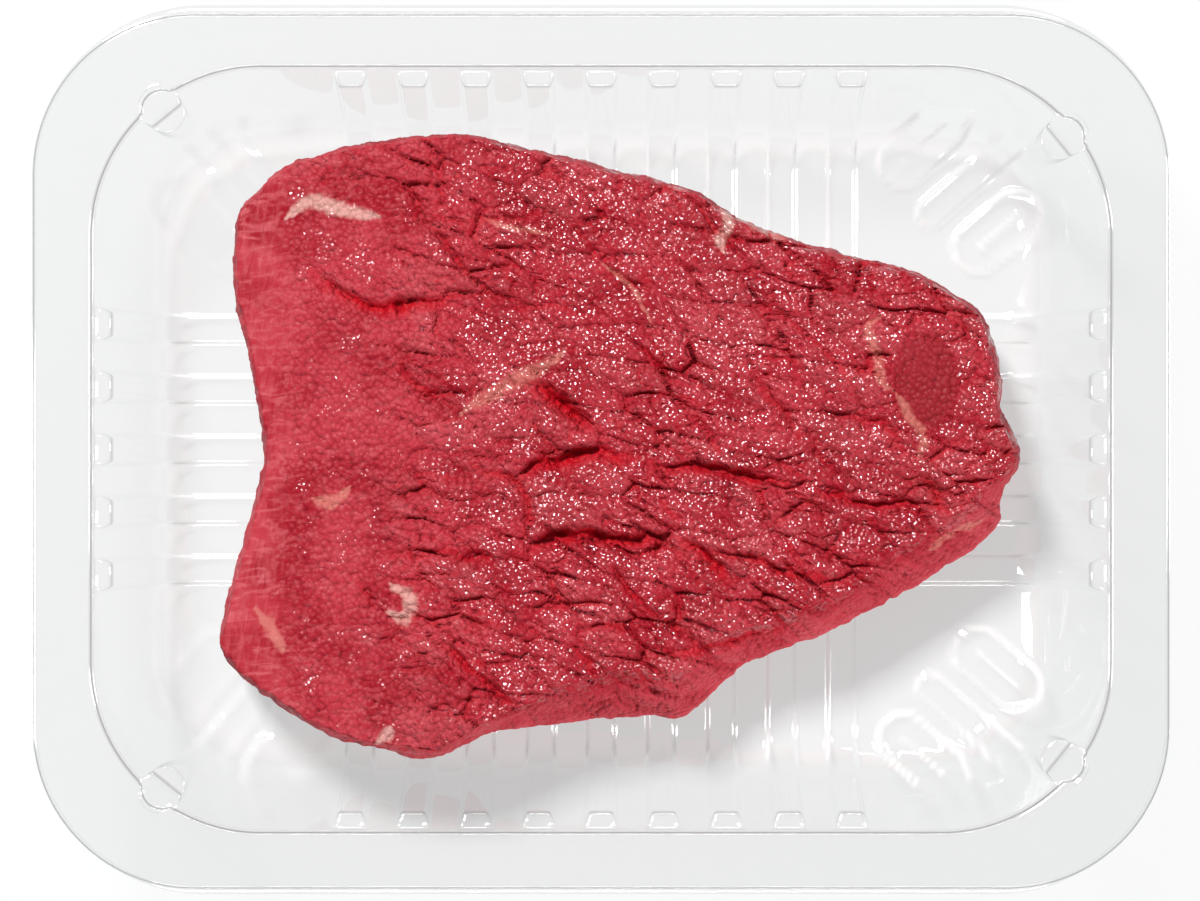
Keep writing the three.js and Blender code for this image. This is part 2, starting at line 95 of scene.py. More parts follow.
def smoothstep(low: float, high: float, values: np.ndarray) -> np.ndarray:
    """A smooth rise from 0 at low to 1 at high.

    Args:
        low: where the rise starts; it may be above high, for a fall.
        high: where the rise ends.
        values: what is measured against them.

    Returns:
        The share of the rise at each value.
    """
    share = np.clip((values - low) / (high - low), 0, 1)
    return share * share * (3 - 2 * share)


class Noise:
    """Seeded random relief, worked out from points in any number of dimensions."""

    PRIMES = np.array([73856093, 19349663, 83492791], dtype=np.int64)
    SEED_FACTOR = 2654435761
    ROUNDS = ((13, 1274126177), (16, 668265263), (15, 374761393))
    MASK = (1 << 31) - 1
    LAYER_SHIFT = 17.3
    SPREAD = 1.6

    @classmethod
    def chance(cls, cells: np.ndarray, seed: int) -> np.ndarray:
        """A random share for each whole-numbered cell.

        Args:
            cells: the cells' numbers, one row each.
            seed: which random draw.

        Returns:
            A share from 0 to 1 for each row.
        """
        mixed = (cells.astype(np.int64) * cls.PRIMES[: cells.shape[1]]).sum(axis=1)
        mixed = mixed + seed * cls.SEED_FACTOR
        for shift, factor in cls.ROUNDS:
            mixed = ((mixed ^ (mixed >> shift)) * factor) & cls.MASK
        return mixed / cls.MASK

    @classmethod
    def swell(cls, points: np.ndarray, seed: int) -> np.ndarray:
        """Smooth noise with features about one unit across.

        Args:
            points: where it is wanted, one row each.
            seed: which random draw.

        Returns:
            A height from -1 to 1 for each point.
        """
        cells = np.floor(points).astype(np.int64)
        part = points - cells
        eased = part * part * (3 - 2 * part)
        total = np.zeros(len(points))
        dimensions = points.shape[1]
        for number in range(2**dimensions):
            corner = np.array([(number >> axis) & 1 for axis in range(dimensions)])
            weight = np.prod(np.where(corner, eased, 1 - eased), axis=1)
            total += weight * cls.chance(cells + corner, seed)
        return 2 * total - 1

    @classmethod
    def layered(cls, points: np.ndarray, seed: int, layers: int = 3) -> np.ndarray:
        """Smooth noise with ever finer layers on top.

        Args:
            points: where it is wanted, one row each.
            seed: which random draw.
            layers: how many layers, each half as broad and half as high.

        Returns:
            A height from about -1 to 1 for each point.
        """
        total = np.zeros(len(points))
        size = 1.0
        for layer in range(layers):
            total += size * cls.swell(points * 2**layer + cls.LAYER_SHIFT * layer, seed + layer)
            size /= 2
        return total / cls.SPREAD

    @classmethod
    def stray(cls, places: np.ndarray, size: float, seeds: tuple[int, int]) -> np.ndarray:
        """A smooth sideways stray for each place, so that lines wander.

        Args:
            places: where it is wanted, two numbers a row.
            size: how broad its swings are, in the unit of the places.
            seeds: the random draws for X and for Y.

        Returns:
            Two numbers a row, each from about -1 to 1.
        """
        return np.column_stack([cls.layered(places / size, seed) for seed in seeds])

    @classmethod
    def cells(
        cls, points: np.ndarray, seed: int, jitter: float
    ) -> tuple[np.ndarray, np.ndarray, np.ndarray]:
        """Splits the plane into uneven cells, about one unit across.

        Args:
            points: where it is wanted, two numbers a row.
            seed: which random draw.
            jitter: how far each cell's middle strays, from 0 to 1.

        Returns:
            Each point's distance from its cell's edge, its way to the middle, and the cell's share.
        """
        home = np.floor(points).astype(np.int64)
        nearest = np.full(len(points), np.inf)
        second = np.full(len(points), np.inf)
        way = np.zeros_like(points)
        share = np.zeros(len(points))
        for step_x in (-1, 0, 1):
            for step_y in (-1, 0, 1):
                cell = home + np.array([step_x, step_y])
                stray = np.stack([cls.chance(cell, seed), cls.chance(cell, seed + 1)], axis=1)
                offset = cell + 0.5 + jitter * (stray - 0.5) - points
                distance = np.hypot(offset[:, 0], offset[:, 1])
                closer = distance < nearest
                second = np.where(closer, nearest, np.minimum(second, distance))
                nearest = np.where(closer, distance, nearest)
                way = np.where(closer[:, None], offset, way)
                share = np.where(closer, cls.chance(cell, seed + 2), share)
        return second - nearest, way, share


class Curves:
    """Smooth lines through named points."""

    @staticmethod
    def smooth(points: np.ndarray, closed: bool, steps: int) -> np.ndarray:
        """A centripetal curve through points.

        Args:
            points: the points, two numbers a row.
            closed: whether the curve joins its start.
            steps: how many points between two given ones.

        Returns:
            The curve's points, two numbers a row.
        """
        if closed:
            padded = np.vstack([points[-1:], points, points[:2]])
        else:
            padded = np.vstack([2 * points[0] - points[1], points, 2 * points[-1] - points[-2]])
        share = np.linspace(0, 1, steps, endpoint=False)[:, None]
        pieces = []
        for before, start, end, after in zip(padded, padded[1:], padded[2:], padded[3:]):
            pairs = ((before, start), (start, end), (end, after))
            knots = [math.sqrt(math.dist(first, second)) for first, second in pairs]
            leave = (end - before) / (knots[0] + knots[1])
            leave = (start - before) / knots[0] - leave + (end - start) / knots[1]
            arrive = (after - start) / (knots[1] + knots[2])
            arrive = (end - start) / knots[1] - arrive + (after - end) / knots[2]
            leave, arrive = leave * knots[1], arrive * knots[1]
            pieces.append(
                (2 * share**3 - 3 * share**2 + 1) * start
                + (share**3 - 2 * share**2 + share) * leave
                + (3 * share**2 - 2 * share**3) * end
                + (share**3 - share**2) * arrive
            )
        if not closed:
            pieces.append(points[-1:])
        return np.vstack(pieces)

    @staticmethod
    def lengths(line: np.ndarray) -> np.ndarray:
        """The way from a line's start to each of its points."""
        return np.concatenate([[0], np.cumsum(np.hypot(*np.diff(line, axis=0).T))])

    @staticmethod
    def even(points: np.ndarray, count: int) -> np.ndarray:
        """Evenly spaced points round a closed line.

        Args:
            points: the line's own points.
            count: how many are wanted.

        Returns:
            The even points, two numbers a row.
        """
        ring = np.vstack([points, points[:1]])
        lengths = Curves.lengths(ring)
        places = np.linspace(0, lengths[-1], count, endpoint=False)
        return np.stack([np.interp(places, lengths, ring[:, axis]) for axis in (0, 1)], axis=1)

    @staticmethod
    def nearness(
        points: np.ndarray, line: np.ndarray, reach: float
    ) -> tuple[np.ndarray, np.ndarray, np.ndarray]:
        """How near each point is to a line.

        Args:
            points: the points, two numbers a row.
            line: the line's points.
            reach: points further away than this are left at infinity.

        Returns:
            Each point's distance, its share of the way along the line, and 1 or -1 for its side.
        """
        distance = np.full(len(points), np.inf)
        along = np.zeros(len(points))
        side = np.ones(len(points))
        low, high = line.min(axis=0) - reach, line.max(axis=0) + reach
        chosen = np.flatnonzero(((points > low) & (points < high)).all(axis=1))
        if len(chosen) == 0:
            return distance, along, side
        lengths = Curves.lengths(line)
        near = points[chosen]
        for number, (start, end) in enumerate(zip(line, line[1:])):
            step = end - start
            length = math.hypot(*step)
            share = np.clip(((near - start) @ step) / length**2, 0, 1)
            away = near - start - share[:, None] * step
            found = np.hypot(away[:, 0], away[:, 1])
            closer = found < distance[chosen]
            picked = chosen[closer]
            distance[picked] = found[closer]
            along[picked] = (lengths[number] + share[closer] * length) / lengths[-1]
            cross = step[0] * away[closer, 1] - step[1] * away[closer, 0]
            side[picked] = np.where(cross >= 0, 1.0, -1.0)
        distance[distance > reach] = np.inf
        return distance, along, side


class MeshMaker:
    """Turns arrays of points in millimetres into mesh objects."""

    @staticmethod
    def make(name: str, points: np.ndarray, faces: list[np.ndarray]) -> bpy.types.Object:
        """A smooth-shaded mesh object that sits at the origin.

        Args:
            name: the piece's name.
            points: three numbers a row, in millimetres.
            faces: arrays of corner numbers, one array for quads and one for triangles.

        Returns:
            The new object, linked into the scene.
        """
        mesh = bpy.data.meshes.new(name)
        mesh.vertices.add(len(points))
        mesh.vertices.foreach_set("co", (points * MM).astype(np.float32).ravel())
        corners = np.concatenate([group.ravel() for group in faces]).astype(np.int32)
        counts = np.concatenate([np.full(len(group), group.shape[1]) for group in faces])
        starts = np.concatenate([[0], np.cumsum(counts)[:-1]]).astype(np.int32)
        mesh.loops.add(len(corners))
        mesh.loops.foreach_set("vertex_index", corners)
        mesh.polygons.add(len(counts))
        mesh.polygons.foreach_set("loop_start", starts)
        mesh.update(calc_edges=True)
        mesh.validate()
        mesh.shade_smooth()
        made = bpy.data.objects.new(name, mesh)
        bpy.context.scene.collection.objects.link(made)
        return made

    @staticmethod
    def paint(piece: bpy.types.Object, name: str, values: np.ndarray) -> None:
        """Stores one number for each of a mesh's points, for its finish to read.

        Args:
            piece: the mesh object.
            name: the layer's name.
            values: one number for each point.
        """
        layer = piece.data.attributes.new(name, "FLOAT", "POINT")
        layer.data.foreach_set("value", values.astype(np.float32))

    @staticmethod
    def normals(piece: bpy.types.Object) -> np.ndarray:
        """The way each of a mesh's points faces, three numbers a row."""
        values = np.zeros(3 * len(piece.data.vertices), np.float32)
        piece.data.vertices.foreach_get("normal", values)
        return values.reshape(-1, 3).astype(float)

    @staticmethod
    def move(piece: bpy.types.Object, points: np.ndarray) -> None:
        """Moves a mesh's points to new places in millimetres, three numbers a row."""
        piece.data.vertices.foreach_set("co", (points * MM).astype(np.float32).ravel())
        piece.data.update()

    @staticmethod
    def place(piece: bpy.types.Object, node: str, slot: str) -> None:
        """Lets a piece stand for a CAD node.

        Args:
            piece: the mesh object.
            node: the CAD node that it replaces.
            slot: the record's material slot; not used.
        """
        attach(piece, BODY)
        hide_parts(node)


class Graph:
    """A material's nodes, with short calls for those that the finishes use."""

    DETAIL = 2.0

    def __init__(self, name: str) -> None:
        """Starts an empty material.

        Args:
            name: the material's name.
        """
        self.material = bpy.data.materials.new(name)
        self.material.use_nodes = True
        self.tree = self.material.node_tree
        self.tree.nodes.clear()
        self.output = self.tree.nodes.new("ShaderNodeOutputMaterial")

    def node(self, kind: str, **settings: object) -> bpy.types.Node:
        """A new node with some of its settings.

        Args:
            kind: the node's type name.
            **settings: the node's own properties.

        Returns:
            The node.
        """
        made = self.tree.nodes.new(kind)
        for name, value in settings.items():
            setattr(made, name, value)
        return made

    def feed(self, socket: bpy.types.NodeSocket, value: object) -> None:
        """Links a socket to another node's output, or sets its value."""
        if isinstance(value, bpy.types.NodeSocket):
            self.tree.links.new(value, socket)
        else:
            socket.default_value = value

    def layer(self, name: str) -> bpy.types.NodeSocket:
        """A number that the mesh stores at its points."""
        return self.node("ShaderNodeAttribute", attribute_name=name).outputs["Fac"]

    def place(
        self, stretch: tuple[float, float, float] = (1, 1, 1), turn: float = 0
    ) -> bpy.types.NodeSocket:
        """The place on the object, stretched and turned.

        Args:
            stretch: how many times finer along each axis.
            turn: the turn about Z, in degrees.

        Returns:
            The vector socket.
        """
        coordinates = self.node("ShaderNodeTexCoord").outputs["Object"]
        turned = self.node("ShaderNodeMapping")
        self.feed(turned.inputs["Vector"], coordinates)
        turned.inputs["Rotation"].default_value = (0, 0, math.radians(turn))
        scaled = self.node("ShaderNodeMapping")
        self.feed(scaled.inputs["Vector"], turned.outputs["Vector"])
        scaled.inputs["Scale"].default_value = stretch
        return scaled.outputs["Vector"]

    def noise(
        self, place: bpy.types.NodeSocket, size: float, swirl: float = 0
    ) -> bpy.types.NodeSocket:
        """Smooth noise.

        Args:
            place: the vector socket.
            size: how broad its features are, in millimetres.
            swirl: how much it is distorted.

        Returns:
            The noise, about 0 to 1.
        """
        made = self.node("ShaderNodeTexNoise")
        self.feed(made.inputs["Vector"], place)
        made.inputs["Scale"].default_value = 1 / (size * MM)
        made.inputs["Detail"].default_value = self.DETAIL
        made.inputs["Distortion"].default_value = swirl
        return made.outputs["Fac"]

    def grains(self, place: bpy.types.NodeSocket, size: float) -> bpy.types.NodeSocket:
        """Small round grains.

        Args:
            place: the vector socket.
            size: how far apart the grains are, in millimetres.

        Returns:
            The distance from the nearest grain's middle.
        """
        made = self.node("ShaderNodeTexVoronoi", feature="F1")
        self.feed(made.inputs["Vector"], place)
        made.inputs["Scale"].default_value = 1 / (size * MM)
        return made.outputs["Distance"]

    def ramp(
        self, value: object, low: float, high: float, start: float = 0, end: float = 1
    ) -> bpy.types.NodeSocket:
        """A smooth rise of a value.

        Args:
            value: the socket to read.
            low: the value where the rise starts.
            high: the value where it ends.
            start: the result at low.
            end: the result at high.

        Returns:
            The result's socket.
        """
        made = self.node("ShaderNodeMapRange", interpolation_type="SMOOTHSTEP")
        self.feed(made.inputs["Value"], value)
        for name, number in (("From Min", low), ("From Max", high), ("To Min", start), ("To Max", end)):
            made.inputs[name].default_value = number
        return made.outputs["Result"]

    def sum(self, operation: str, first: object, second: object) -> bpy.types.NodeSocket:
        """A sum of two values, such as ADD, SUBTRACT, MULTIPLY or POWER."""
        made = self.node("ShaderNodeMath", operation=operation)
        self.feed(made.inputs[0], first)
        self.feed(made.inputs[1], second)
        return made.outputs[0]

    def blend(self, share: object, first: object, second: object) -> bpy.types.NodeSocket:
        """Two colours blended.

        Args:
            share: how much of the second.
            first: the first colour.
            second: the second colour.

        Returns:
            The colour's socket.
        """
        made = self.node("ShaderNodeMix", data_type="RGBA")
        colours = [socket for socket in made.inputs if socket.type == "RGBA"]
        self.feed(made.inputs["Factor"], share)
        self.feed(colours[0], first)
        self.feed(colours[1], second)
        return next(socket for socket in made.outputs if socket.type == "RGBA")

    def bump(self, height: bpy.types.NodeSocket, depth: float) -> bpy.types.NodeSocket:
        """A relief finer than the mesh.

        Args:
            height: the relief, 0 to 1.
            depth: how deep a full step is, in millimetres.

        Returns:
            The normal's socket.
        """
        made = self.node("ShaderNodeBump")
        self.feed(made.inputs["Height"], height)
        made.inputs["Distance"].default_value = depth * MM
        return made.outputs["Normal"]

    def finish(self, shader: bpy.types.NodeSocket) -> bpy.types.Material:
        """Ends the material with its shader."""
        self.tree.links.new(shader, self.output.inputs["Surface"])
        return self.material


@dataclass(frozen=True)
class Pattern:
    """A noise pattern: its size in millimetres, where it rises, its stretch, its turn and its swirl."""

    size: float
    low: float
    high: float
    stretch: tuple[float, float, float] = (1, 1, 1)
    turn: float = 0
    swirl: float = 0

    def share(self, graph: Graph) -> bpy.types.NodeSocket:
        """How much of the pattern is at each place, from 0 to 1."""
        noise = graph.noise(graph.place(self.stretch, self.turn), self.size, self.swirl)
        return graph.ramp(noise, self.low, self.high)


@dataclass(frozen=True)
class ClearSheet:
    """The tray's finish: thin clear formed sheet, a shade grey, with mirror-like folds, white highlights
    painted along its bends, dark lines painted along its tightest folds, and a floor made clearer,
    partly for its thinner sheet and partly as painted light.
    """

    tint: Colour = (0.96, 0.962, 0.962, 1.0)
    clear_tint: Colour = (1.0, 1.0, 1.0, 1.0)
    wall_tint: Colour = (0.935, 0.938, 0.938, 1.0)
    edge_tint: Colour = (0.7, 0.71, 0.72, 1.0)
    painted_fold_line: Colour = (0.3, 0.31, 0.32, 1.0)
    painted_highlight_white: Colour = (0.9, 0.9, 0.9, 1.0)
    head_on: float = 0.06
    edge_on: float = 0.18
    steepness: float = 5.0
    gloss: float = 0.05
    leaning: tuple[float, float] = (0.15, 0.75)
    nearly_edge_on: tuple[float, float] = (0.85, 0.99)
    shadow_lift: float = 0.75

    def make(self) -> bpy.types.Material:
        """Builds the material.

        Returns:
            The clear sheet's material.
        """
        graph = Graph("clear_sheet")
        across = graph.node("ShaderNodeLayerWeight")
        across.inputs["Blend"].default_value = 0.5
        leaning = graph.ramp(across.outputs["Facing"], *self.leaning)
        long_way = graph.ramp(across.outputs["Facing"], *self.nearly_edge_on)
        # partly painted light: the thin layer makes the sheet clearer where it lies low, partly for the
        # thinner drawn floor and partly to lift the shade on the tray's floor
        tint = graph.blend(graph.layer("thin"), self.tint, self.clear_tint)
        tint = graph.blend(leaning, tint, self.wall_tint)
        tint = graph.blend(long_way, tint, self.edge_tint)
        # painted dark line along the tightest folds, in place of the dark edges that refraction draws
        # there
        tint = graph.blend(graph.layer("fold"), tint, self.painted_fold_line)
        shadow = graph.node("ShaderNodeLightPath").outputs["Is Shadow Ray"]
        tint = graph.blend(graph.sum("MULTIPLY", shadow, self.shadow_lift), tint, self.clear_tint)
        through = graph.node("ShaderNodeBsdfTransparent")
        graph.feed(through.inputs["Color"], tint)
        shine = graph.node("ShaderNodeBsdfGlossy")
        shine.inputs["Color"].default_value = (1, 1, 1, 1)
        shine.inputs["Roughness"].default_value = self.gloss
        steep = graph.sum("POWER", across.outputs["Facing"], self.steepness)
        mirror = graph.sum("ADD", graph.sum("MULTIPLY", steep, self.edge_on), self.head_on)
        mirror = graph.sum("MULTIPLY", mirror, graph.layer("upper"))
        mixed = graph.node("ShaderNodeMixShader")
        graph.feed(mixed.inputs[0], mirror)
        graph.feed(mixed.inputs[1], through.outputs[0])
        graph.feed(mixed.inputs[2], shine.outputs[0])
        # painted highlight: a white diffuse mixed in along the bends, in place of the lights'
        # reflections there
        white = graph.node("ShaderNodeBsdfDiffuse")
        white.inputs["Color"].default_value = self.painted_highlight_white
        both = graph.node("ShaderNodeMixShader")
        graph.feed(both.inputs[0], graph.layer("painted_highlight"))
        graph.feed(both.inputs[1], mixed.outputs[0])
        graph.feed(both.inputs[2], white.outputs[0])
        return graph.finish(both.outputs[0])


@dataclass(frozen=True)
class RawBeef:
    """The steak's finish: wet red muscle with grain and fat seams, with painted shade darkening its
    crevices and flake edges, a faint painted red glow in the crevices, and sides painted paler, partly
    as painted light.
    """

    lean: Colour = tone(150, 42, 52)
    deep: Colour = tone(128, 18, 30)
    pale: Colour = tone(172, 82, 88)
    smooth_patch: Colour = tone(118, 26, 33)
    # the sides' paler tone, partly their own colour and partly painted light for the light that reaches
    # them from below
    side: Colour = tone(176, 64, 74)
    # painted shade: the deep red that darkens the crevices and the flakes' edges
    crevice: Colour = tone(150, 5, 18)
    fat: Colour = tone(182, 140, 132)
    # painted light: a faint red glow in the crevices, in place of light scattered through the flesh
    crevice_glow_colour: Colour = tone(190, 8, 30)
    crevice_glow: float = 0.08
    seam: Colour = tone(172, 104, 94)
    broad: Pattern = Pattern(14, 0.38, 0.66)
    streaks: Pattern = Pattern(1.1, 0.45, 0.75, (1, 0.18, 0.35), 8, 0.4)
    mottle: Pattern = Pattern(2.2, 0.5, 0.78)
    wrinkles: Pattern = Pattern(1.6, 0.45, 0.75, (0.3, 1, 0.4), -6, 1.2)
    speck_size: float = 0.75
    ragged_size: float = 1.6
    ragged: float = 1.1
    fat_share: float = 0.75
    seam_share: float = 0.6
    wet_size: float = 5.0
    roughness: tuple[float, float] = (0.42, 0.6)
    film: tuple[float, float] = (0.32, 0.48)
    film_roughness: float = 0.14
    dry: float = 0.6
    calm: float = 0.24
    plain_shine: float = 0.06
    grain_size: float = 1.15
    grain_depth: float = 0.65
    fibre_stretch: tuple[float, float, float] = (1, 0.15, 0.3)
    fibre_turn: float = 8
    fibre_swirl: float = 0.4

    def colour(self, graph: Graph) -> bpy.types.NodeSocket:
        """The meat's colour, from broad patches down to single grains, with painted shade in the
        crevices and sides painted paler, partly as painted light.

        Args:
            graph: the material's nodes.

        Returns:
            The colour's socket.
        """
        place = graph.place()
        body = graph.blend(self.broad.share(graph), self.lean, self.deep)
        streaks = graph.sum("MULTIPLY", self.streaks.share(graph), graph.layer("fibre"))
        body = graph.blend(graph.sum("MULTIPLY", streaks, 0.35), body, self.pale)
        body = graph.blend(graph.sum("MULTIPLY", self.mottle.share(graph), 0.4), body, self.pale)
        body = graph.blend(graph.ramp(graph.layer("tint"), 0.4, 0.95, 0, 0.3), body, self.pale)
        wrinkles = graph.sum("MULTIPLY", self.wrinkles.share(graph), graph.layer("calm"))
        body = graph.blend(graph.sum("MULTIPLY", wrinkles, 0.28), body, self.pale)
        specks = graph.ramp(graph.grains(place, self.speck_size), 0.3, 0.62)
        share = graph.ramp(graph.layer("calm"), 0, 1, 0.45, 0.15)
        body = graph.blend(graph.sum("MULTIPLY", specks, share), body, self.deep)
        # the sides are painted paler: partly their own colour, partly painted light for the light that
        # reaches them from below
        body = graph.blend(graph.sum("MULTIPLY", graph.layer("side"), 0.35), body, self.side)
        body = graph.blend(graph.sum("MULTIPLY", graph.layer("patch"), 0.75), body, self.smooth_patch)
        ragged = graph.sum("ADD", graph.noise(place, self.ragged_size), -0.5)
        streaked = (("seam", self.seam, self.seam_share), ("fat", self.fat, self.fat_share))
        for name, colour, most in streaked:
            share = graph.sum("ADD", graph.layer(name), graph.sum("MULTIPLY", ragged, self.ragged))
            body = graph.blend(graph.ramp(share, 0.2, 1.0, 0, most), body, colour)
        # painted shade: the crevice layer darkens the splits and the flakes' edges to a deep red
        return graph.blend(graph.layer("crevice"), body, self.crevice)

    def relief(self, graph: Graph) -> bpy.types.NodeSocket:
        """The grain that is finer than the mesh: round drops, or long fibres on the left.

        Args:
            graph: the material's nodes.

        Returns:
            The normal's socket.
        """
        place = graph.place()
        drops = graph.sum("POWER", graph.grains(place, self.grain_size), 2.0)
        swells = graph.sum("MULTIPLY", graph.noise(place, 2 * self.grain_size), 0.8)
        rough = graph.sum("SUBTRACT", swells, drops)
        along = graph.place(self.fibre_stretch, self.fibre_turn)
        fibres = graph.noise(along, self.grain_size, self.fibre_swirl)
        picked = graph.node("ShaderNodeMix", data_type="FLOAT")
        graph.feed(picked.inputs[0], graph.layer("fibre"))
        graph.feed(picked.inputs[2], rough)
        graph.feed(picked.inputs[3], fibres)
        return graph.bump(picked.outputs[0], self.grain_depth)

    def make(self) -> bpy.types.Material:
        """Builds the material.

        Returns:
            The raw beef's material.
        """
        graph = Graph("raw_beef")
        shader = graph.node("ShaderNodeBsdfPrincipled")
        graph.feed(shader.inputs["Base Color"], self.colour(graph))
        wet = graph.noise(graph.place(), self.wet_size)
        graph.feed(shader.inputs["Roughness"], graph.ramp(wet, 0.3, 0.7, *self.roughness))
        dry = graph.sum("MAXIMUM", graph.layer("side"), graph.layer("crevice"))
        dry = graph.sum("MAXIMUM", dry, graph.layer("patch"))
        calm = graph.sum("MULTIPLY", graph.layer("calm"), self.calm)
        dull = graph.sum("ADD", graph.sum("MULTIPLY", dry, self.dry), calm)
        film = graph.ramp(graph.sum("SUBTRACT", wet, dull), *self.film)
        graph.feed(shader.inputs["Coat Weight"], film)
        # painted light: the crevices glow faintly red, in place of light scattered through the flesh
        shader.inputs["Emission Color"].default_value = self.crevice_glow_colour
        glow = graph.sum("MULTIPLY", graph.layer("crevice"), self.crevice_glow)
        graph.feed(shader.inputs["Emission Strength"], glow)
        shader.inputs["Specular IOR Level"].default_value = self.plain_shine
        shader.inputs["Coat Roughness"].default_value = self.film_roughness
        grain = self.relief(graph)
        graph.feed(shader.inputs["Normal"], grain)
        graph.feed(shader.inputs["Coat Normal"], grain)
        return graph.finish(shader.outputs[0])


@dataclass(frozen=True)
class PaleFloor:
    """The studio floor's finish: a plain white table that glows a little."""

    white: Colour = (0.25, 0.253, 0.253, 1.0)
    glow: float = 0.57

    def make(self) -> bpy.types.Material:
        """Builds the material.

        Returns:
            The floor's material.
        """
        graph = Graph("pale_floor")
        shader = graph.node("ShaderNodeBsdfDiffuse")
        shader.inputs["Color"].default_value = self.white
        light = graph.node("ShaderNodeEmission")
        light.inputs["Strength"].default_value = self.glow
        both = graph.node("ShaderNodeAddShader")
        graph.feed(both.inputs[0], shader.outputs[0])
        graph.feed(both.inputs[1], light.outputs[0])
        return graph.finish(both.outputs[0])


@dataclass
class Outline:
    """A rectangle with round corners, in millimetres."""

    half_x: float
    half_y: float
    corner: float
    shift: float = 0.0

    def ring(self, base: np.ndarray, way: np.ndarray, grow: float = 0.0) -> np.ndarray:
        """The outline's points in step with the tray's stations.

        Args:
            base: each station's place on the core rectangle, as shares of its half sizes.
            way: the direction that each station faces.
            grow: how far outside the outline.

        Returns:
            One point for each station.
        """
        reach = np.array([self.half_x - self.corner, self.half_y - self.corner])
        return base * reach + way * (self.corner + grow) + np.array([0, self.shift])


@dataclass
class RibFamily:
    """The lines along which a family of parallel ribs is drawn, in millimetres."""

    count: int
    stop: float
    extra: tuple[float, ...] = ()
    right_only: tuple[float, ...] = ()
    pitch: float = 12.6
    flank: tuple[tuple[float, float, float], ...] = (
        (2.0, 1.45, 1.0),
        (2.4, 1.9, 0.92),
        (2.85, 2.35, 0.5),
        (3.3, 2.8, 0.08),
        (3.75, 3.3, 0.0),
    )

    def lines(self) -> tuple[np.ndarray, np.ndarray, np.ndarray]:
        """Where the lines run.

        Returns:
            Each line's place on the upper face, on the lower face, and how much of a rib is there.
        """
        rows = []
        for number in range(self.count):
            middle = (number - (self.count - 1) / 2) * self.pitch
            rows.append((middle, middle, 1.0))
            for upper, lower, share in self.flank:
                rows.append((middle - upper, middle - lower, share))
                rows.append((middle + upper, middle + lower, share))
            if number:
                between = middle - self.pitch / 2
                rows.append((between, between, 0.0))
        for place in (*self.extra, self.stop):
            rows.append((place, place, 0.0))
            rows.append((-place, -place, 0.0))
        for place in self.right_only:
            rows.append((place, place, 0.0))
        rows.sort()
        table = np.array(rows)
        return table[:, 0], table[:, 1], table[:, 2]


@dataclass
class Pad:
    """An oval pad raised in the floor's bend, in millimetres and degrees."""

    x: float
    y: float
    length: float
    width: float
    turn: float
    rise: float
    softness: float
    crease: float
    # how strong the white highlight painted along the pad's outline is
    painted_highlight: float
    crease_half: float = 0.45
    crease_fade: float = 1.5
    line_half: float = 0.4
    line_share: float = 0.9
    outline_share: float = 0.6

    def own_frame(self, points: np.ndarray) -> tuple[np.ndarray, np.ndarray, np.ndarray]:
        """Where places lie on the pad.

        Args:
            points: places on the tray, two numbers a row.

        Returns:
            Each place's distance from the middle line and from the outline, and its share of the crease.
        """
        turn = math.radians(self.turn)
        axis = np.array([math.cos(turn), math.sin(turn)])
        away = points - np.array([self.x, self.y])
        along = np.abs(away @ axis)
        across = np.abs(away @ np.array([-axis[1], axis[0]]))
        reach = self.length / 2 - self.width / 2
        edge = np.hypot(np.maximum(along - reach, 0), across) - self.width / 2
        return across, edge, smoothstep(reach + self.crease_fade, reach, along)

    def lift(self, points: np.ndarray) -> np.ndarray:
        """How far the pad lifts the sheet.

        Args:
            points: places on the tray, two numbers a row.

        Returns:
            The lift at each place.
        """
        across, edge, creased = self.own_frame(points)
        lift = self.rise * smoothstep(self.softness, -self.softness, edge)
        return lift + self.crease * np.exp(-((across / self.crease_half) ** 2)) * creased

    def outline(self, points: np.ndarray) -> np.ndarray:
        """How near each place is to the pad's outline or its middle line.

        Args:
            points: places on the tray, two numbers a row.

        Returns:
            A share from 0 to the pad's painted highlight.
        """
        across, edge, creased = self.own_frame(points)
        near = np.exp(-((edge / (self.outline_share * self.softness)) ** 2))
        if self.crease:
            line = self.line_share * np.exp(-((across / self.line_half) ** 2)) * creased
            near = np.maximum(near, line)
        return self.painted_highlight * near


@dataclass
class Lug:
    """A round stacking lug at the rim, in millimetres and degrees."""

    x: float
    y: float
    turn: float
    radius: float = 4.06
    chord: float = 1.2


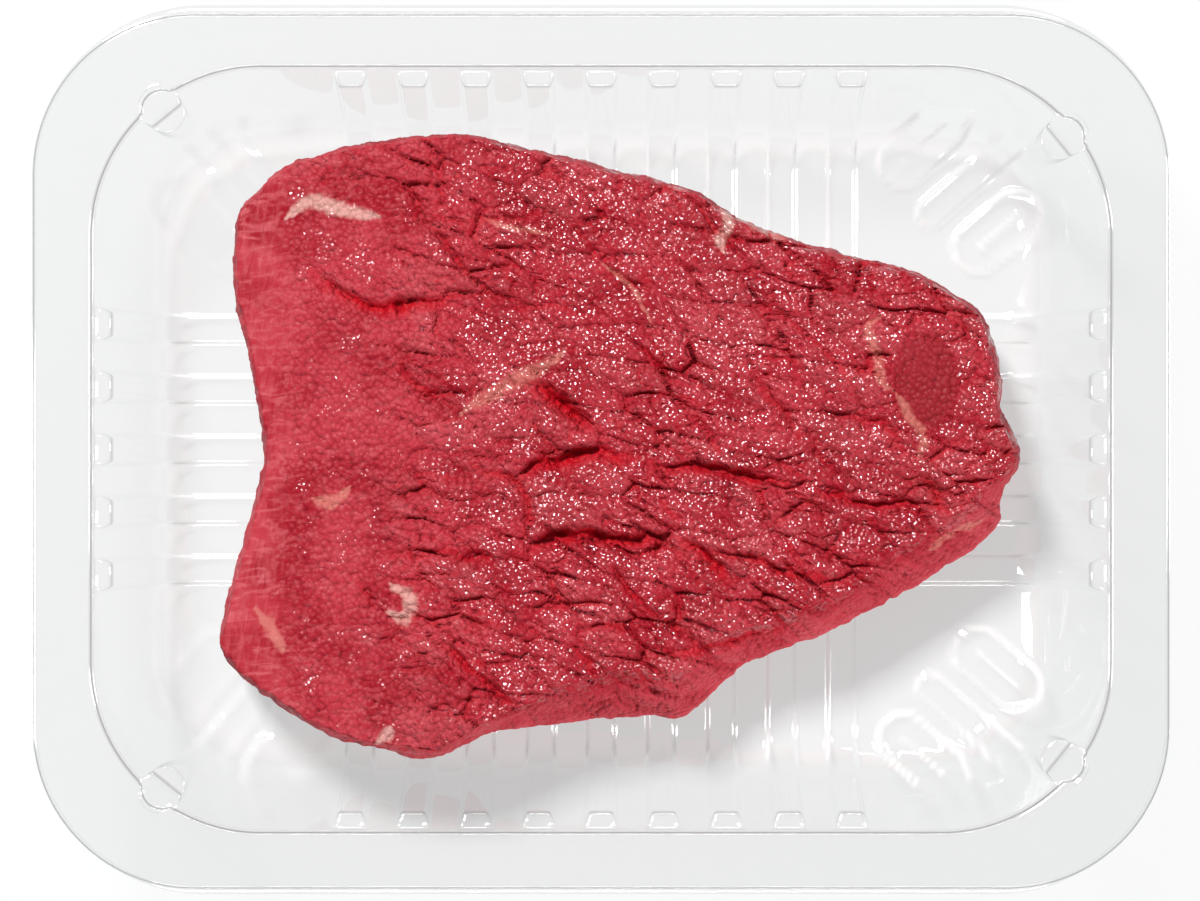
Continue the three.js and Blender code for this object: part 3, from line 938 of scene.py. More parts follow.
@dataclass
class Tray:
    """The clear formed tray: lip, flange, drafted walls, pressed ribs, corner pads and lugs."""

    low: Vector
    high: Vector
    sheet: float = 0.6
    lip_corner: float = 34.5
    lip_drop: float = 1.2
    flange_inset: tuple[float, float] = (0.4, 1.6)
    flange_corner: float = 32.0
    flange_shift: float = -0.4
    rim_inset: tuple[float, float] = (11.9, 12.3)
    rim_corner: float = 34.0
    bead_rise: float = 0.14
    bead: Route = ((3.4, 0.0), (2.7, 0.25), (2.2, 0.85), (1.8, 1.0), (1.4, 0.8), (1.15, 0.3))
    fold: Route = ((-0.95, 0.0), (-0.5, 0.05), (-0.18, 0.22), (0.0, 0.5), (0.1, 0.95))
    row_gap: float = 0.12
    wall_fold: Route = ((0.22, 1.2), (0.48, 1.32))
    wall_start: tuple[float, float] = (0.55, 1.6)
    wall_depths: tuple[float, ...] = (0.0, 0.5, 1.1, 1.8, 2.6, 3.4, 4.2, 5.0)
    rib_fold: Route = ((0.22, 1.5), (0.45, 2.4))
    shelf_start: tuple[float, float] = (0.8, 2.9)
    shelf_insets: tuple[float, ...] = (0.8, 1.6, 2.4, 3.0)
    shelf_lip: Route = ((-0.35, 0.12), (-0.05, -0.25), (0.12, -0.75), (0.3, -1.5))
    wall_draft: float = 14.6
    wall_bend: float = 11.0
    rib_draft: float = 12.5
    rib_bend: float = 10.0
    rib_floor: float = 1.8
    shelf_inset: float = 3.8
    shelf_height: float = 36.2
    end_rib_stop: float = 57.0
    lug_seat: float = 1.0
    lug_step: float = 5.5
    lug_spread: float = 8.4
    lug_stations: int = 29
    corner_stations: tuple[int, int] = (14, 18)
    pad_middle: tuple[float, float] = (74.9, 54.8)
    pad_spacing: float = 11.95
    pad_turns: tuple[float, float] = (41.0, 49.0)
    wide_pad: tuple[float, float] = (20.5, 10.4)
    narrow_pad: tuple[float, float] = (27.0, 5.6)
    narrow_out: float = 3.0
    sharp_pad: tuple[float, float, float] = (1.2, 1.1, 0.3)
    soft_pad: tuple[float, float, float] = (0.8, 2.2, 0.0)
    # the white highlights painted along the pads, the ribs' flanks and the walls' feet
    sharp_highlight: tuple[float, float] = (0.27, 0.2)
    soft_highlight: float = 0.08
    pad_top: tuple[float, float] = (15.0, 11.0)
    highlight_top: tuple[float, float] = (15.0, 12.0)
    highlight_spread: float = 0.3
    rib_highlight: float = 0.11
    rib_highlight_heights: tuple[float, float] = (4.0, 2.5)
    foot_highlight: float = 0.3
    foot_height: float = 2.6
    foot_spread: float = 1.2
    least_highlight: float = 0.03
    # the heights over which the low sheet is made clearer, partly for its thinner floor and partly as
    # painted light against the shade there
    clearer_from: float = 5.0
    clearer_below: float = 1.5
    bend_rows: int = 14
    floor_rows: int = 12
    wall_rows: int = 8
    # the rows where a dark line is painted along a fold, and how dark it is
    edge_folds: tuple[tuple[int, float], ...] = ((2, 0.75), (3, 1.0), (4, 0.45))
    rim_folds: tuple[tuple[int, float], ...] = ((2, 0.35), (3, 0.8), (4, 0.4), (6, 0.18))
    shelf_folds: tuple[tuple[int, float], ...] = ((11, 0.1), (12, 0.4), (13, 0.2))
    lug_folds: tuple[tuple[int, float], ...] = ((2, 0.7), (3, 0.4), (8, 0.5), (13, 0.1))
    slot: str = "clear_tray"
    node: str = "tray"
    lugs: dict[Corner, Lug] = field(
        default_factory=lambda: {
            Corner.RIGHT_BACK: Lug(92.6, 62.5, 39),
            Corner.RIGHT_FRONT: Lug(92.6, -62.5, -39),
            Corner.LEFT_BACK: Lug(-87.8, 67.8, 129),
            Corner.LEFT_FRONT: Lug(-87.8, -67.8, -129),
        }
    )

    def __post_init__(self) -> None:
        """Works the outlines out from the CAD node's box."""
        half_x = (self.high.x - self.low.x) / 2 / MM
        half_y = (self.high.y - self.low.y) / 2 / MM
        self.height = self.high.z / MM - self.bead_rise - 0.01
        self.lip = Outline(half_x, half_y, self.lip_corner)
        flange_x, flange_y = half_x - self.flange_inset[0], half_y - self.flange_inset[1]
        self.flange = Outline(flange_x, flange_y, self.flange_corner, self.flange_shift)
        self.rim = Outline(half_x - self.rim_inset[0], half_y - self.rim_inset[1], self.rim_corner)
        self.core = np.array([self.rim.half_x, self.rim.half_y]) - self.rim_corner
        stop = self.end_rib_stop
        ends = (stop - 1.4, stop - 0.8, stop, stop + 0.8, stop + 1.5, 63.0)
        by_pads = (59.6, 60.8, 62.0, 64.0, 65.1, 66.2, 67.2)
        self.side_ribs = RibFamily(9, self.core[0], ends, by_pads)
        self.end_ribs = RibFamily(5, self.core[1], (31.0, 33.5, 35.0, 36.2, 37.4, 38.6, 39.8, 41.2))

    def fall(self, start: tuple[float, float], draft: float, floor: float, radius: float) -> np.ndarray:
        """A wall's fall, its bend and the floor beyond it.

        Args:
            start: where the wall starts, as inset and height.
            draft: the wall's lean in degrees.
            floor: the floor's height.
            radius: the bend's radius.

        Returns:
            Rows of inset and height, from the wall's start to the core's edge.
        """
        lean = math.radians(draft)
        foot = start[0] + (start[1] - floor) * math.tan(lean)
        sweep = math.pi / 2 - lean
        end = foot + radius * math.tan(sweep / 2)
        rows = []
        bend_top = floor + radius * (1 - math.cos(sweep))
        for share in np.linspace(0, 1, self.wall_rows, endpoint=False)[1:]:
            height = start[1] + (bend_top - start[1]) * share
            rows.append((start[0] + (start[1] - height) * math.tan(lean), height))
        for share in np.linspace(0, 1, self.bend_rows):
            angle = sweep * (1 - share)
            rows.append((end - radius * math.sin(angle), floor + radius * (1 - math.cos(angle))))
        for share in np.linspace(0, 1, self.floor_rows + 1)[1:]:
            rows.append((end + (self.rim_corner - end) * share, floor))
        return np.array(rows)

    def rim_fold(self, *last: tuple[float, float]) -> list[tuple[float, float]]:
        """The rim's rounded fold and its last rows, each given by its inset and its drop."""
        return [(inset, self.height - drop) for inset, drop in (*self.fold, *last)]

    def wall(self) -> np.ndarray:
        """The plain wall from the rim to the core, as rows of inset and height."""
        fold = self.rim_fold(*self.wall_fold)
        lean = math.tan(math.radians(self.wall_draft))
        start = (self.wall_start[0], self.height - self.wall_start[1])
        upper = [(start[0] + depth * lean, start[1] - depth) for depth in self.wall_depths]
        fall = self.fall(upper[-1], self.wall_draft, self.sheet, self.wall_bend)
        return np.vstack([fold, upper, fall])

    def rib(self) -> np.ndarray:
        """A rib's middle line from the rim to the core, as rows in step with the wall's."""
        fold = self.rim_fold(*self.rib_fold)
        edge, level = self.shelf_inset, self.shelf_height
        start, root = self.shelf_start[0], self.height - self.shelf_start[1]
        slope = (root - level) / (edge - start)
        shelf = [(inset, root - slope * (inset - start)) for inset in self.shelf_insets]
        shelf += [(edge + inset, level + rise) for inset, rise in self.shelf_lip]
        fall = self.fall(shelf[-1], self.rib_draft, self.rib_floor, self.rib_bend)
        return np.vstack([fold, shelf, fall])

    def lug_rows(self, lug: Lug, centre: np.ndarray, angle: float, wall: np.ndarray) -> np.ndarray:
        """The wall's rows where a lug stands in them.

        Args:
            lug: the corner's lug.
            centre: the rim corner's middle.
            angle: the direction of the rows, in radians.
            wall: the plain wall's rows.

        Returns:
            Rows of inset and height, in step with the wall's.
        """
        away = np.array([lug.x, lug.y]) - centre
        reach = math.hypot(*away)
        facing = math.atan2(away[1], away[0])
        off = angle - facing
        inside = lug.radius**2 - (reach * math.sin(off)) ** 2
        if inside <= 0.02:
            return wall
        spread = math.sqrt(inside)
        outer = min(self.rim_corner - reach * math.cos(off) - spread, -0.1)
        inner = self.rim_corner - reach * math.cos(off) + spread
        turn = math.radians(lug.turn)
        chord_at = (reach * math.cos(facing - turn) - lug.chord) / math.cos(angle - turn)
        chord = min(max(self.rim_corner - chord_at, outer + 0.8), inner - 0.5)
        top, seat, step = self.height, self.height - self.lug_seat, self.height - self.lug_step
        rows = wall.copy()
        rows[:7] = [
            (outer - 0.75, top),
            (outer - 0.4, top - 0.05),
            (outer - 0.12, top - 0.25),
            (outer + 0.02, top - 0.6),
            (outer + 0.1, seat + 0.2),
            (outer + 0.3, seat + 0.02),
            ((outer + chord) / 2, seat),
        ]
        rows[7:15] = [
            (chord - 0.3, seat - 0.02),
            (chord - 0.02, seat - 0.25),
            (chord + 0.06, step + 0.5),
            (chord + 0.25, step + 0.03),
            ((chord + inner) / 2, step),
            (inner - 0.35, step - 0.03),
            (inner - 0.05, step - 0.35),
            (inner + 0.05, step - 1.2),
        ]
        rows[15:, 0] = np.maximum(rows[15:, 0], inner + 0.02 * (step - rows[15:, 1]))
        return rows

    def corner_angles(self, corner: Corner) -> np.ndarray:
        """The directions of a corner's rows, closer together at its lug.

        Args:
            corner: which corner.

        Returns:
            Angles in radians, counter-clockwise, without the corner's two ends.
        """
        lug = self.lugs[corner]
        centre = self.core * np.array(corner.value)
        middle = math.degrees(math.atan2(lug.y - centre[1], lug.x - centre[0])) % 360
        start = 90 * list(Corner).index(corner)
        near = middle + np.linspace(-self.lug_spread, self.lug_spread, self.lug_stations)
        before, after = self.corner_stations
        below = np.linspace(start, near[0], before, endpoint=False)[1:]
        above = np.linspace(near[-1], start + 90, after, endpoint=False)[1:]
        return np.radians(np.concatenate([below, near, above]))

    def stations(self) -> dict[str, np.ndarray]:
        """The places round the tray from which its rows run inwards.

        Returns:
            Arrays of each station's base share, lower base share, direction, rib share and corner.
        """
        x_up, x_low, x_rib = self.side_ribs.lines()
        y_up, y_low, y_rib = self.end_ribs.lines()
        rows = []
        for place, (side, corner) in enumerate(zip(Side, Corner)):
            way = np.array(side.value, float)
            upright = side in (Side.RIGHT, Side.LEFT)
            upper, lower, share = (y_up, y_low, y_rib) if upright else (x_up, x_low, x_rib)
            rising = side in (Side.RIGHT, Side.FRONT)
            numbers = range(len(upper)) if rising else range(len(upper) - 1, -1, -1)
            for number in numbers:
                along, under = upper[number] / upper[-1], lower[number] / lower[-1]
                base = (way[0], along) if upright else (along, way[1])
                below = (way[0], under) if upright else (under, way[1])
                rows.append((*base, *below, *way, share[number], -1))
            sign = corner.value
            for angle in self.corner_angles(corner):
                rows.append((*sign, *sign, math.cos(angle), math.sin(angle), 0.0, place))
        table = np.array(rows)
        return {
            "base": table[:, 0:2],
            "below": table[:, 2:4],
            "way": table[:, 4:6],
            "rib": table[:, 6],
            "corner": table[:, 7].astype(int),
        }

    def profiles(self, stations: dict[str, np.ndarray]) -> np.ndarray:
        """Each station's rows of inset and height.

        Args:
            stations: the arrays from stations().

        Returns:
            An array of station by row by inset and height.
        """
        wall, rib = self.wall(), self.rib()
        share = stations["rib"][:, None, None]
        rows = wall[None] + share * (rib - wall)[None]
        corners = list(Corner)
        for number in np.flatnonzero(stations["corner"] >= 0):
            corner = corners[stations["corner"][number]]
            way = stations["way"][number]
            centre = self.core * np.array(corner.value)
            angle = math.atan2(way[1], way[0])
            rows[number] = self.lug_rows(self.lugs[corner], centre, angle, wall)
        return rows

    @staticmethod
    def facing(rows: np.ndarray) -> np.ndarray:
        """The way that each row's place faces, up and into the tray, in the upright plane.

        Args:
            rows: station by row by inset and height.

        Returns:
            Station by row by inset and height parts of a stretched unit direction.
        """
        steps = np.diff(rows, axis=1)
        steps /= np.maximum(np.linalg.norm(steps, axis=2, keepdims=True), 1e-9)
        square = np.stack([-steps[..., 1], steps[..., 0]], axis=2)
        first = np.concatenate([square[:, :1], square], axis=1)
        second = np.concatenate([square, square[:, -1:]], axis=1)
        both = first + second
        both /= np.maximum(np.linalg.norm(both, axis=2, keepdims=True), 1e-9)
        lean = np.maximum((both * first).sum(axis=2, keepdims=True), 0.6)
        return both / lean

    def pads(self) -> list[Pad]:
        """The oval pads of all corners: two wide ones and a narrow one between them."""
        made = []
        for corner in Corner:
            sign_x, sign_y = corner.value
            sharp = sign_x > 0
            turn = self.pad_turns[0 if sharp else 1]
            outward, across = math.radians(turn), math.radians(turn + 90)
            rise, softness, crease = self.sharp_pad if sharp else self.soft_pad
            for place in (-1, 0, 1):
                shift = place * self.pad_spacing
                out = 0.0 if place else self.narrow_out
                x = self.pad_middle[0] + shift * math.cos(across) + out * math.cos(outward)
                y = self.pad_middle[1] + shift * math.sin(across) + out * math.sin(outward)
                shape = self.wide_pad if place else self.narrow_pad
                lean = turn * sign_x * sign_y
                ridge = crease if place else 0.0
                painted_highlight = self.sharp_highlight[0 if place else 1] if sharp else self.soft_highlight
                made.append(Pad(sign_x * x, sign_y * y, *shape, lean, rise, softness, ridge, painted_highlight))
        return made

    def flange_rows(self, stations: dict[str, np.ndarray], key: str) -> list[tuple[np.ndarray, float]]:
        """The rows outside the rim: the lip, the flange's edge and its flat with a faint bead.

        Args:
            stations: the arrays from stations().
            key: "base" for the upper face, or "below" for the lower one.

        Returns:
            Each row's points and its height.
        """
        base, way, top = stations[key], stations["way"], self.height
        rows = [(self.lip.ring(base, way), top - self.lip_drop)]
        low = -self.lip_drop
        edge = ((0.3, low), (0.06, low + 0.12), (0.0, -0.5), (-0.14, -0.16), (-0.5, 0.0))
        for grow, drop in edge:
            rows.append((self.flange.ring(base, way, grow), top + drop))
        near = self.rim.ring(base, way, self.bead[0][0])
        far = self.flange.ring(base, way, edge[-1][0])
        rows.append(((near + far) / 2, top))
        for grow, share in self.bead:
            rows.append((self.rim.ring(base, way, grow), top + share * self.bead_rise))
        return rows

    def face(self, stations: dict[str, np.ndarray], lower: bool) -> np.ndarray:
        """One face of the sheet, outside the core.

        Args:
            stations: the arrays from stations().
            lower: whether it is the face on the outside of the tray.

        Returns:
            Station by row by x, y and height, down to the last row outside the core.
        """
        key = "below" if lower else "base"
        base, way = stations[key], stations["way"]
        outer = self.flange_rows(stations, key)
        foot = base * self.core
        inner = self.profiles(stations)
        rows = np.zeros((len(base), len(outer) + inner.shape[1], 2))
        points = np.zeros((len(base), rows.shape[1], 3))
        for number, (places, height) in enumerate(outer):
            inset = self.rim_corner - ((places - foot) * way).sum(axis=1)
            rows[:, number] = np.stack([inset, np.full(len(base), height)], axis=1)
            points[:, number, :2] = places
        for number in range(len(outer) - len(self.bead), len(outer)):
            most = inner[:, 0, 0] - self.row_gap * (len(outer) - number)
            rows[:, number, 0] = np.minimum(rows[:, number, 0], most)
            points[:, number, :2] = foot + way * (self.rim_corner - rows[:, number, :1])
        rows[:, len(outer):] = inner
        reach = self.rim_corner - inner[..., 0]
        points[:, len(outer):, :2] = foot[:, None] + way[:, None] * reach[..., None]
        facing = self.facing(rows)
        lift = np.zeros(rows.shape[:2])
        flat = points[..., :2].reshape(-1, 2)
        for pad in self.pads():
            lift += pad.lift(flat).reshape(lift.shape)
        to_core = self.rim_corner - rows[..., 0]
        lift *= smoothstep(*self.pad_top, rows[..., 1]) * smoothstep(0.5, 3.0, to_core)
        move = lift[..., None] * facing / np.maximum(np.linalg.norm(facing, axis=2, keepdims=True), 1)
        if lower:
            move = move - self.sheet * facing
        points[..., :2] -= way[:, None] * move[..., :1]
        points[..., 2] = rows[..., 1] + move[..., 1]
        return points[:, :-1]

    def painted_highlights(self, points: np.ndarray, rib: np.ndarray) -> np.ndarray:
        """The white highlights painted along the pads' outlines and the ribs' flanks, in place of the
        lights' reflections there.

        Args:
            points: the upper face's points.
            rib: how much of a rib is at each point.

        Returns:
            The share of painted white highlight at each point.
        """
        height = points[:, 2]
        share = np.zeros(len(points))
        for pad in self.pads():
            share = np.maximum(share, pad.outline(points[:, :2]))
        share *= smoothstep(*self.highlight_top, height)
        flank = np.exp(-(((rib - 0.5) / self.highlight_spread) ** 2))
        foot = np.exp(-(((height - self.foot_height) / self.foot_spread) ** 2))
        along = self.rib_highlight * smoothstep(*self.rib_highlight_heights, height) + self.foot_highlight * foot
        share = np.maximum(share, flank * along)
        return np.where(share > self.least_highlight, share, 0)

    def folds(self, stations: dict[str, np.ndarray]) -> np.ndarray:
        """How dark a thin line is painted at each place of the upper face along its tight folds, in
        place of the dark edges that refraction draws there.

        Args:
            stations: the arrays from stations().

        Returns:
            Station by row, from 0 on the flats to 1 on the tightest folds.
        """
        outer = len(self.flange_rows(stations, "base"))
        inner = self.profiles(stations)
        share = np.zeros((len(inner), outer + inner.shape[1]))
        for row, tightness in self.edge_folds:
            share[:, row] = tightness
        in_lug = (np.abs(inner - self.wall()[None]) > 1e-6).any(axis=(1, 2)) & (stations["corner"] >= 0)
        for chosen, folds, weight in (
            (~in_lug, self.rim_folds, np.ones(len(inner))),
            (stations["rib"] > 0.01, self.shelf_folds, stations["rib"]),
            (in_lug, self.lug_folds, np.ones(len(inner))),
        ):
            for row, tightness in folds:
                place = outer + row
                share[chosen, place] = np.maximum(share[chosen, place], tightness * weight[chosen])
        return share[:, :-1]

    def core_face(self, lower: bool) -> np.ndarray:
        """The floor between the four corners' middles.

        Args:
            lower: whether it is the face on the outside of the tray.

        Returns:
            Line by line by x, y and height.
        """
        x_up, x_low, x_rib = self.side_ribs.lines()
        y_up, y_low, y_rib = self.end_ribs.lines()
        x, y = (x_low, y_low) if lower else (x_up, y_up)
        grid = np.stack(np.meshgrid(x, y, indexing="ij"), axis=2)
        stop = self.end_rib_stop
        ends = y_rib[None, :] * smoothstep(stop - 0.8, stop + 0.8, np.abs(x))[:, None]
        rib = np.maximum(x_rib[:, None], ends)
        height = self.sheet + (self.rib_floor - self.sheet) * rib - (self.sheet if lower else 0)
        return np.concatenate([grid, height[..., None]], axis=2)

    def join(self, stations: dict[str, np.ndarray], rows: int) -> tuple[np.ndarray, np.ndarray]:
        """The faces of one side of the sheet.

        Args:
            stations: the arrays from stations().
            rows: how many rows each station has.

        Returns:
            Quads and triangles, as numbers into the rows' points followed by the core's.
        """
        x_count, y_count = len(self.side_ribs.lines()[0]), len(self.end_ribs.lines()[0])
        count = len(stations["base"])
        start = count * rows
        number = np.arange(x_count * y_count).reshape(x_count, y_count) + start
        inner = []
        edges = (number[-1, :], number[::-1, -1], number[0, ::-1], number[:, 0])
        corners = (number[-1, -1], number[0, -1], number[0, 0], number[-1, 0])
        for edge, middle, corner in zip(edges, corners, Corner):
            inner.extend(edge)
            inner.extend([middle] * len(self.corner_angles(corner)))
        inner = np.array(inner)
        place = np.arange(count)
        after = np.roll(place, -1)
        quads = []
        for row in range(rows - 1):
            here, there = place * rows + row, after * rows + row
            quads.append(np.stack([here, there, there + 1, here + 1], axis=1))
        last, last_after = place * rows + rows - 1, after * rows + rows - 1
        joined = np.stack([last, last_after, np.roll(inner, -1), inner], axis=1)
        pinched = joined[:, 2] == joined[:, 3]
        quads.append(joined[~pinched])
        grid = np.stack([number[:-1, :-1], number[1:, :-1], number[1:, 1:], number[:-1, 1:]], axis=2)
        quads.append(grid.reshape(-1, 4))
        return np.vstack(quads), joined[pinched][:, :3]

    def build(self) -> bpy.types.Object:
        """Makes the tray's mesh and dresses it.

        Returns:
            The tray's object.
        """
        stations = self.stations()
        sheets = []
        for lower in (False, True):
            face, core = self.face(stations, lower), self.core_face(lower)
            sheets.append(np.vstack([face.reshape(-1, 3), core.reshape(-1, 3)]))
        rows, half = face.shape[1], len(sheets[0])
        quads, triangles = self.join(stations, rows)
        place = np.arange(len(stations["base"])) * rows
        after = np.roll(place, -1)
        rim = np.stack([place + half, after + half, after, place], axis=1)
        faces = [
            np.vstack([quads, quads[:, ::-1] + half, rim]),
            np.vstack([triangles, triangles[:, ::-1] + half]),
        ]
        points = np.vstack(sheets)
        made = MeshMaker.make("formed_tray", points, faces)
        x_up, _, x_rib = self.side_ribs.lines()
        y_rib = self.end_ribs.lines()[2]
        ends = y_rib[None, :] * (np.abs(x_up) > self.end_rib_stop)[:, None]
        ribs = np.maximum(x_rib[:, None], ends).ravel()
        ribs = np.concatenate([np.repeat(stations["rib"], rows), ribs])
        layers = {
            # painted dark fold lines on the upper face
            "fold": self.folds(stations).ravel(),
            # painted white highlights on the upper face
            "painted_highlight": self.painted_highlights(sheets[0], ribs),
            "upper": np.ones(half),
        }
        for name, values in layers.items():
            MeshMaker.paint(made, name, np.concatenate([values, np.zeros(len(points) - len(values))]))
        # the low sheet is painted clearer, partly for its thinner floor and partly as painted light
        # lifting the shade on the tray's floor
        MeshMaker.paint(made, "thin", smoothstep(self.clearer_from, self.clearer_below, points[:, 2]))
        made.data.materials.append(ClearSheet().make())
        MeshMaker.place(made, self.node, self.slot)
        return made


@dataclass(frozen=True)
class Split:
    """A crevice in the meat: its route, its reach to each side and its depth, in millimetres."""

    name: str
    route: Route
    reach: float
    depth: float


@dataclass(frozen=True)
class Seam:
    """A seam of fat or tissue in the meat: its route and half its width, in millimetres."""

    name: str
    route: Route
    half: float
    fatty: bool = False


# The crevices of the top face, with routes in millimetres from the steak's middle
SPLITS = (
    Split(
        "upper_left_deep",
        ((-58, 36.5), (-54.5, 33), (-50.5, 30.5), (-41.5, 29.5), (-33, 30.5), (-27.5, 32.5)),
        3.2, 3.4,
    ),
    Split("top_seam", ((-45, 47.5), (-38, 48), (-24.5, 47), (-11, 48)), 1.8, 1.4),
    Split("middle_pit", ((-15.5, 13.5), (-11.5, 13), (-8.5, 10.5), (-3, 6), (-0.5, 5)), 4.2, 6.0),
    Split(
        "middle_pocket",
        ((-18.5, -6.5), (-16.5, -5.5), (-12.5, -2.5), (-8.5, -1.5), (0.5, 0), (3.5, -1), (9, -1.5)),
        3.4, 4.0,
    ),
    Split(
        "long_right_a",
        ((9, -1.5), (13, -3.5), (20, -3), (25, -4), (30.5, -5.5), (41, -7.5)),
        2.6, 3.2,
    ),
    Split("long_right_b", ((41, -7.5), (49, -9.5), (55.5, -10.5), (62, -10.5), (69, -10.5)), 2.2, 2.6),
    Split("lower_deep_a", ((-16.5, -20), (-11, -18), (-2, -17), (7, -18), (15.5, -17.5)), 3.6, 4.6),
    Split("lower_deep_b", ((15.5, -17.5), (18, -19), (20.5, -21), (24, -24.5), (26, -27)), 2.6, 3.2),
    Split(
        "flake_left",
        ((-26.5, 0), (-24, -3.5), (-17.5, -6), (-15.5, -8.5), (-14.5, -12), (-15, -16), (-16.5, -19.5)),
        2.2, 2.4,
    ),
    Split("left_small", ((-32.5, -5), (-29, -5.5), (-26.5, -6.5)), 1.6, 1.2),
    Split(
        "left_low",
        ((-44.5, -21.5), (-39.5, -21.5), (-33.5, -20.5), (-26.5, -21.5), (-22.5, -22), (-20, -25.5)),
        2.0, 1.8,
    ),
    Split("low_slope_a", ((2, -23), (4.5, -26.5), (7.5, -30.5), (12.5, -35)), 2.0, 2.0),
    Split(
        "low_level_a",
        ((-14.5, -34), (-11.5, -31.5), (-6.5, -31), (-1.5, -30.5), (3.5, -31.5)),
        2.0, 1.8,
    ),
    Split("low_level_b", ((-4.5, -35.5), (2, -36), (7, -36.5)), 2.0, 1.6),
    Split("mid_nick", ((12, -9), (13.5, -11.5), (16.5, -14.5)), 1.6, 1.4),
    Split("right_slope_a", ((30.5, -5.5), (33, -10.5), (35, -16)), 1.8, 1.8),
    Split(
        "right_level_low",
        ((20.5, -20.5), (30.5, -22), (36.5, -24.5), (42, -25), (48.5, -27.5)),
        2.2, 2.4,
    ),
    Split("upper_mid_left", ((-42, 20), (-38.5, 14.5), (-34, 12), (-25, 12)), 2.2, 2.0),
    Split("centre_nick", ((17, 5.5), (17, 1.5), (18, -1.5)), 1.6, 1.6),
    Split("centre_slope", ((20.5, 6), (22.5, 2.5), (25, -0.5)), 1.6, 1.6),
    Split(
        "upper_slope_a",
        ((27.5, 36), (32, 30.5), (37, 27), (45.5, 20), (49.5, 15), (54.5, 6)),
        1.6, 1.4,
    ),
    Split("upper_slope_b", ((30, 16.5), (32, 13.5), (37.5, 7.5), (40, 2.5)), 1.8, 1.8),
    Split("right_nick", ((43, 2.5), (45, -1), (47.5, -4)), 1.6, 1.6),
    Split("right_long_c", ((41, 9.5), (51, 6.5), (57, 5.5), (60, 1.5), (64.5, -3)), 1.8, 1.8),
    Split("edge_slope", ((65.5, -4), (68, -7.5), (69, -11), (71.5, -14)), 2.2, 2.4),
    Split("low_slope_b", ((44, -10), (45.5, -13), (45.5, -16.5)), 1.6, 1.5),
    Split("low_slope_c", ((37.5, -17), (39, -20), (41.5, -23.5)), 1.6, 1.4),
    Split("edge_slope_b", ((53.5, -12), (55.5, -14.5), (58.5, -18.5)), 1.6, 1.5),
    Split("low_level_c", ((29, -29.5), (37, -30), (40.5, -31.5)), 1.6, 1.4),
    Split(
        "bottom_left_a",
        ((-34.5, -37.5), (-29, -41.5), (-25, -45), (-20.5, -49.5), (-16.5, -52.5)),
        2.4, 2.4,
    ),
    Split("bottom_left_b", ((-29, -41.5), (-23.5, -43), (-19, -43.5), (-16, -41)), 1.6, 1.2),
    Split("bottom_left_c", ((-29.5, -34), (-23.5, -35.5), (-19.5, -35.5)), 1.6, 1.3),
    Split("bottom_edge", ((-35.5, -53.5), (-33, -51.5), (-26.5, -51.5)), 1.8, 1.4),
    Split("left_slope", ((-51, -25), (-48.5, -27.5), (-45.5, -33)), 1.6, 1.2),
    Split("ridge_pair", ((34.5, 25.5), (35.5, 18.5), (36.5, 12.5)), 1.2, 0.8),
    Split("small_dark_a", ((-20.5, 29.5), (-17, 29.5), (-10, 29.5), (-2, 27.5)), 1.6, 1.3),
    Split("small_dark_b", ((-30.5, 36), (-30, 33)), 1.4, 1.2),
    Split("upper_fan", ((0, 52), (1, 45), (-2, 38.5)), 1.4, 0.9),
    Split("upper_seam_b", ((-35.5, 56), (-32.5, 51.5), (-34.5, 47.5)), 1.6, 1.1),
    Split("right_upper_nick", ((62, 37), (64, 30.5), (65, 24.5)), 1.4, 0.9),
    Split("lower_right_lip", ((8, -41.5), (20.5, -40.5), (32.5, -37), (42.5, -35.5)), 2.4, 2.0),
    Split("bottom_mid", ((-8, -38.5), (-3, -42.5), (0, -48.5)), 2.0, 1.5),
)

# The streaks of fat and tissue
SEAMS = (
    Seam("upper_left_fat", ((-64, 47), (-60.5, 50), (-57, 50.3), (-52, 48.5), (-45, 47.5)), 1.5, True),
    Seam("top_fat", ((24.5, 49), (26, 46), (24.5, 42.5), (25, 40)), 1.3, True),
    Seam("top_edge_fat", ((27, 48.5), (32, 45.5), (36.5, 43.5), (40, 44)), 1.2),
    Seam("right_fat_a", ((57, 27), (54, 24.5), (56, 20), (57, 14), (60, 11.5)), 1.0),
    Seam("right_fat_b", ((60, 11.5), (63, 6.5), (65.5, 2.5), (64.5, -2.5)), 1.1),
    Seam("middle_tissue", ((-7.5, 20), (-13.5, 16), (-18.5, 13.5), (-25.5, 9.5), (-28.5, 7)), 1.6),
    Seam("lower_left_tissue", ((-59, -10), (-54, -10.5), (-51, -7.5)), 1.3),
    Seam("lower_left_fat", ((-43, -27.5), (-39, -30), (-40, -34.5), (-43.5, -33)), 1.5, True),
    Seam("bottom_fat", ((-42.5, -56.5), (-44, -58.5), (-45.5, -60)), 1.2, True),
    Seam("side_fat", ((66, -20.5), (72, -17), (78, -14)), 0.8),
    Seam("left_edge_streak", ((-70, -32), (-67, -37), (-64.5, -41)), 1.1),
    Seam("upper_mid_tissue", ((-24, 47), (-18, 45), (-10, 44)), 0.7),
    Seam("centre_tissue", ((0, 38), (6, 33), (10, 26)), 0.6),
)

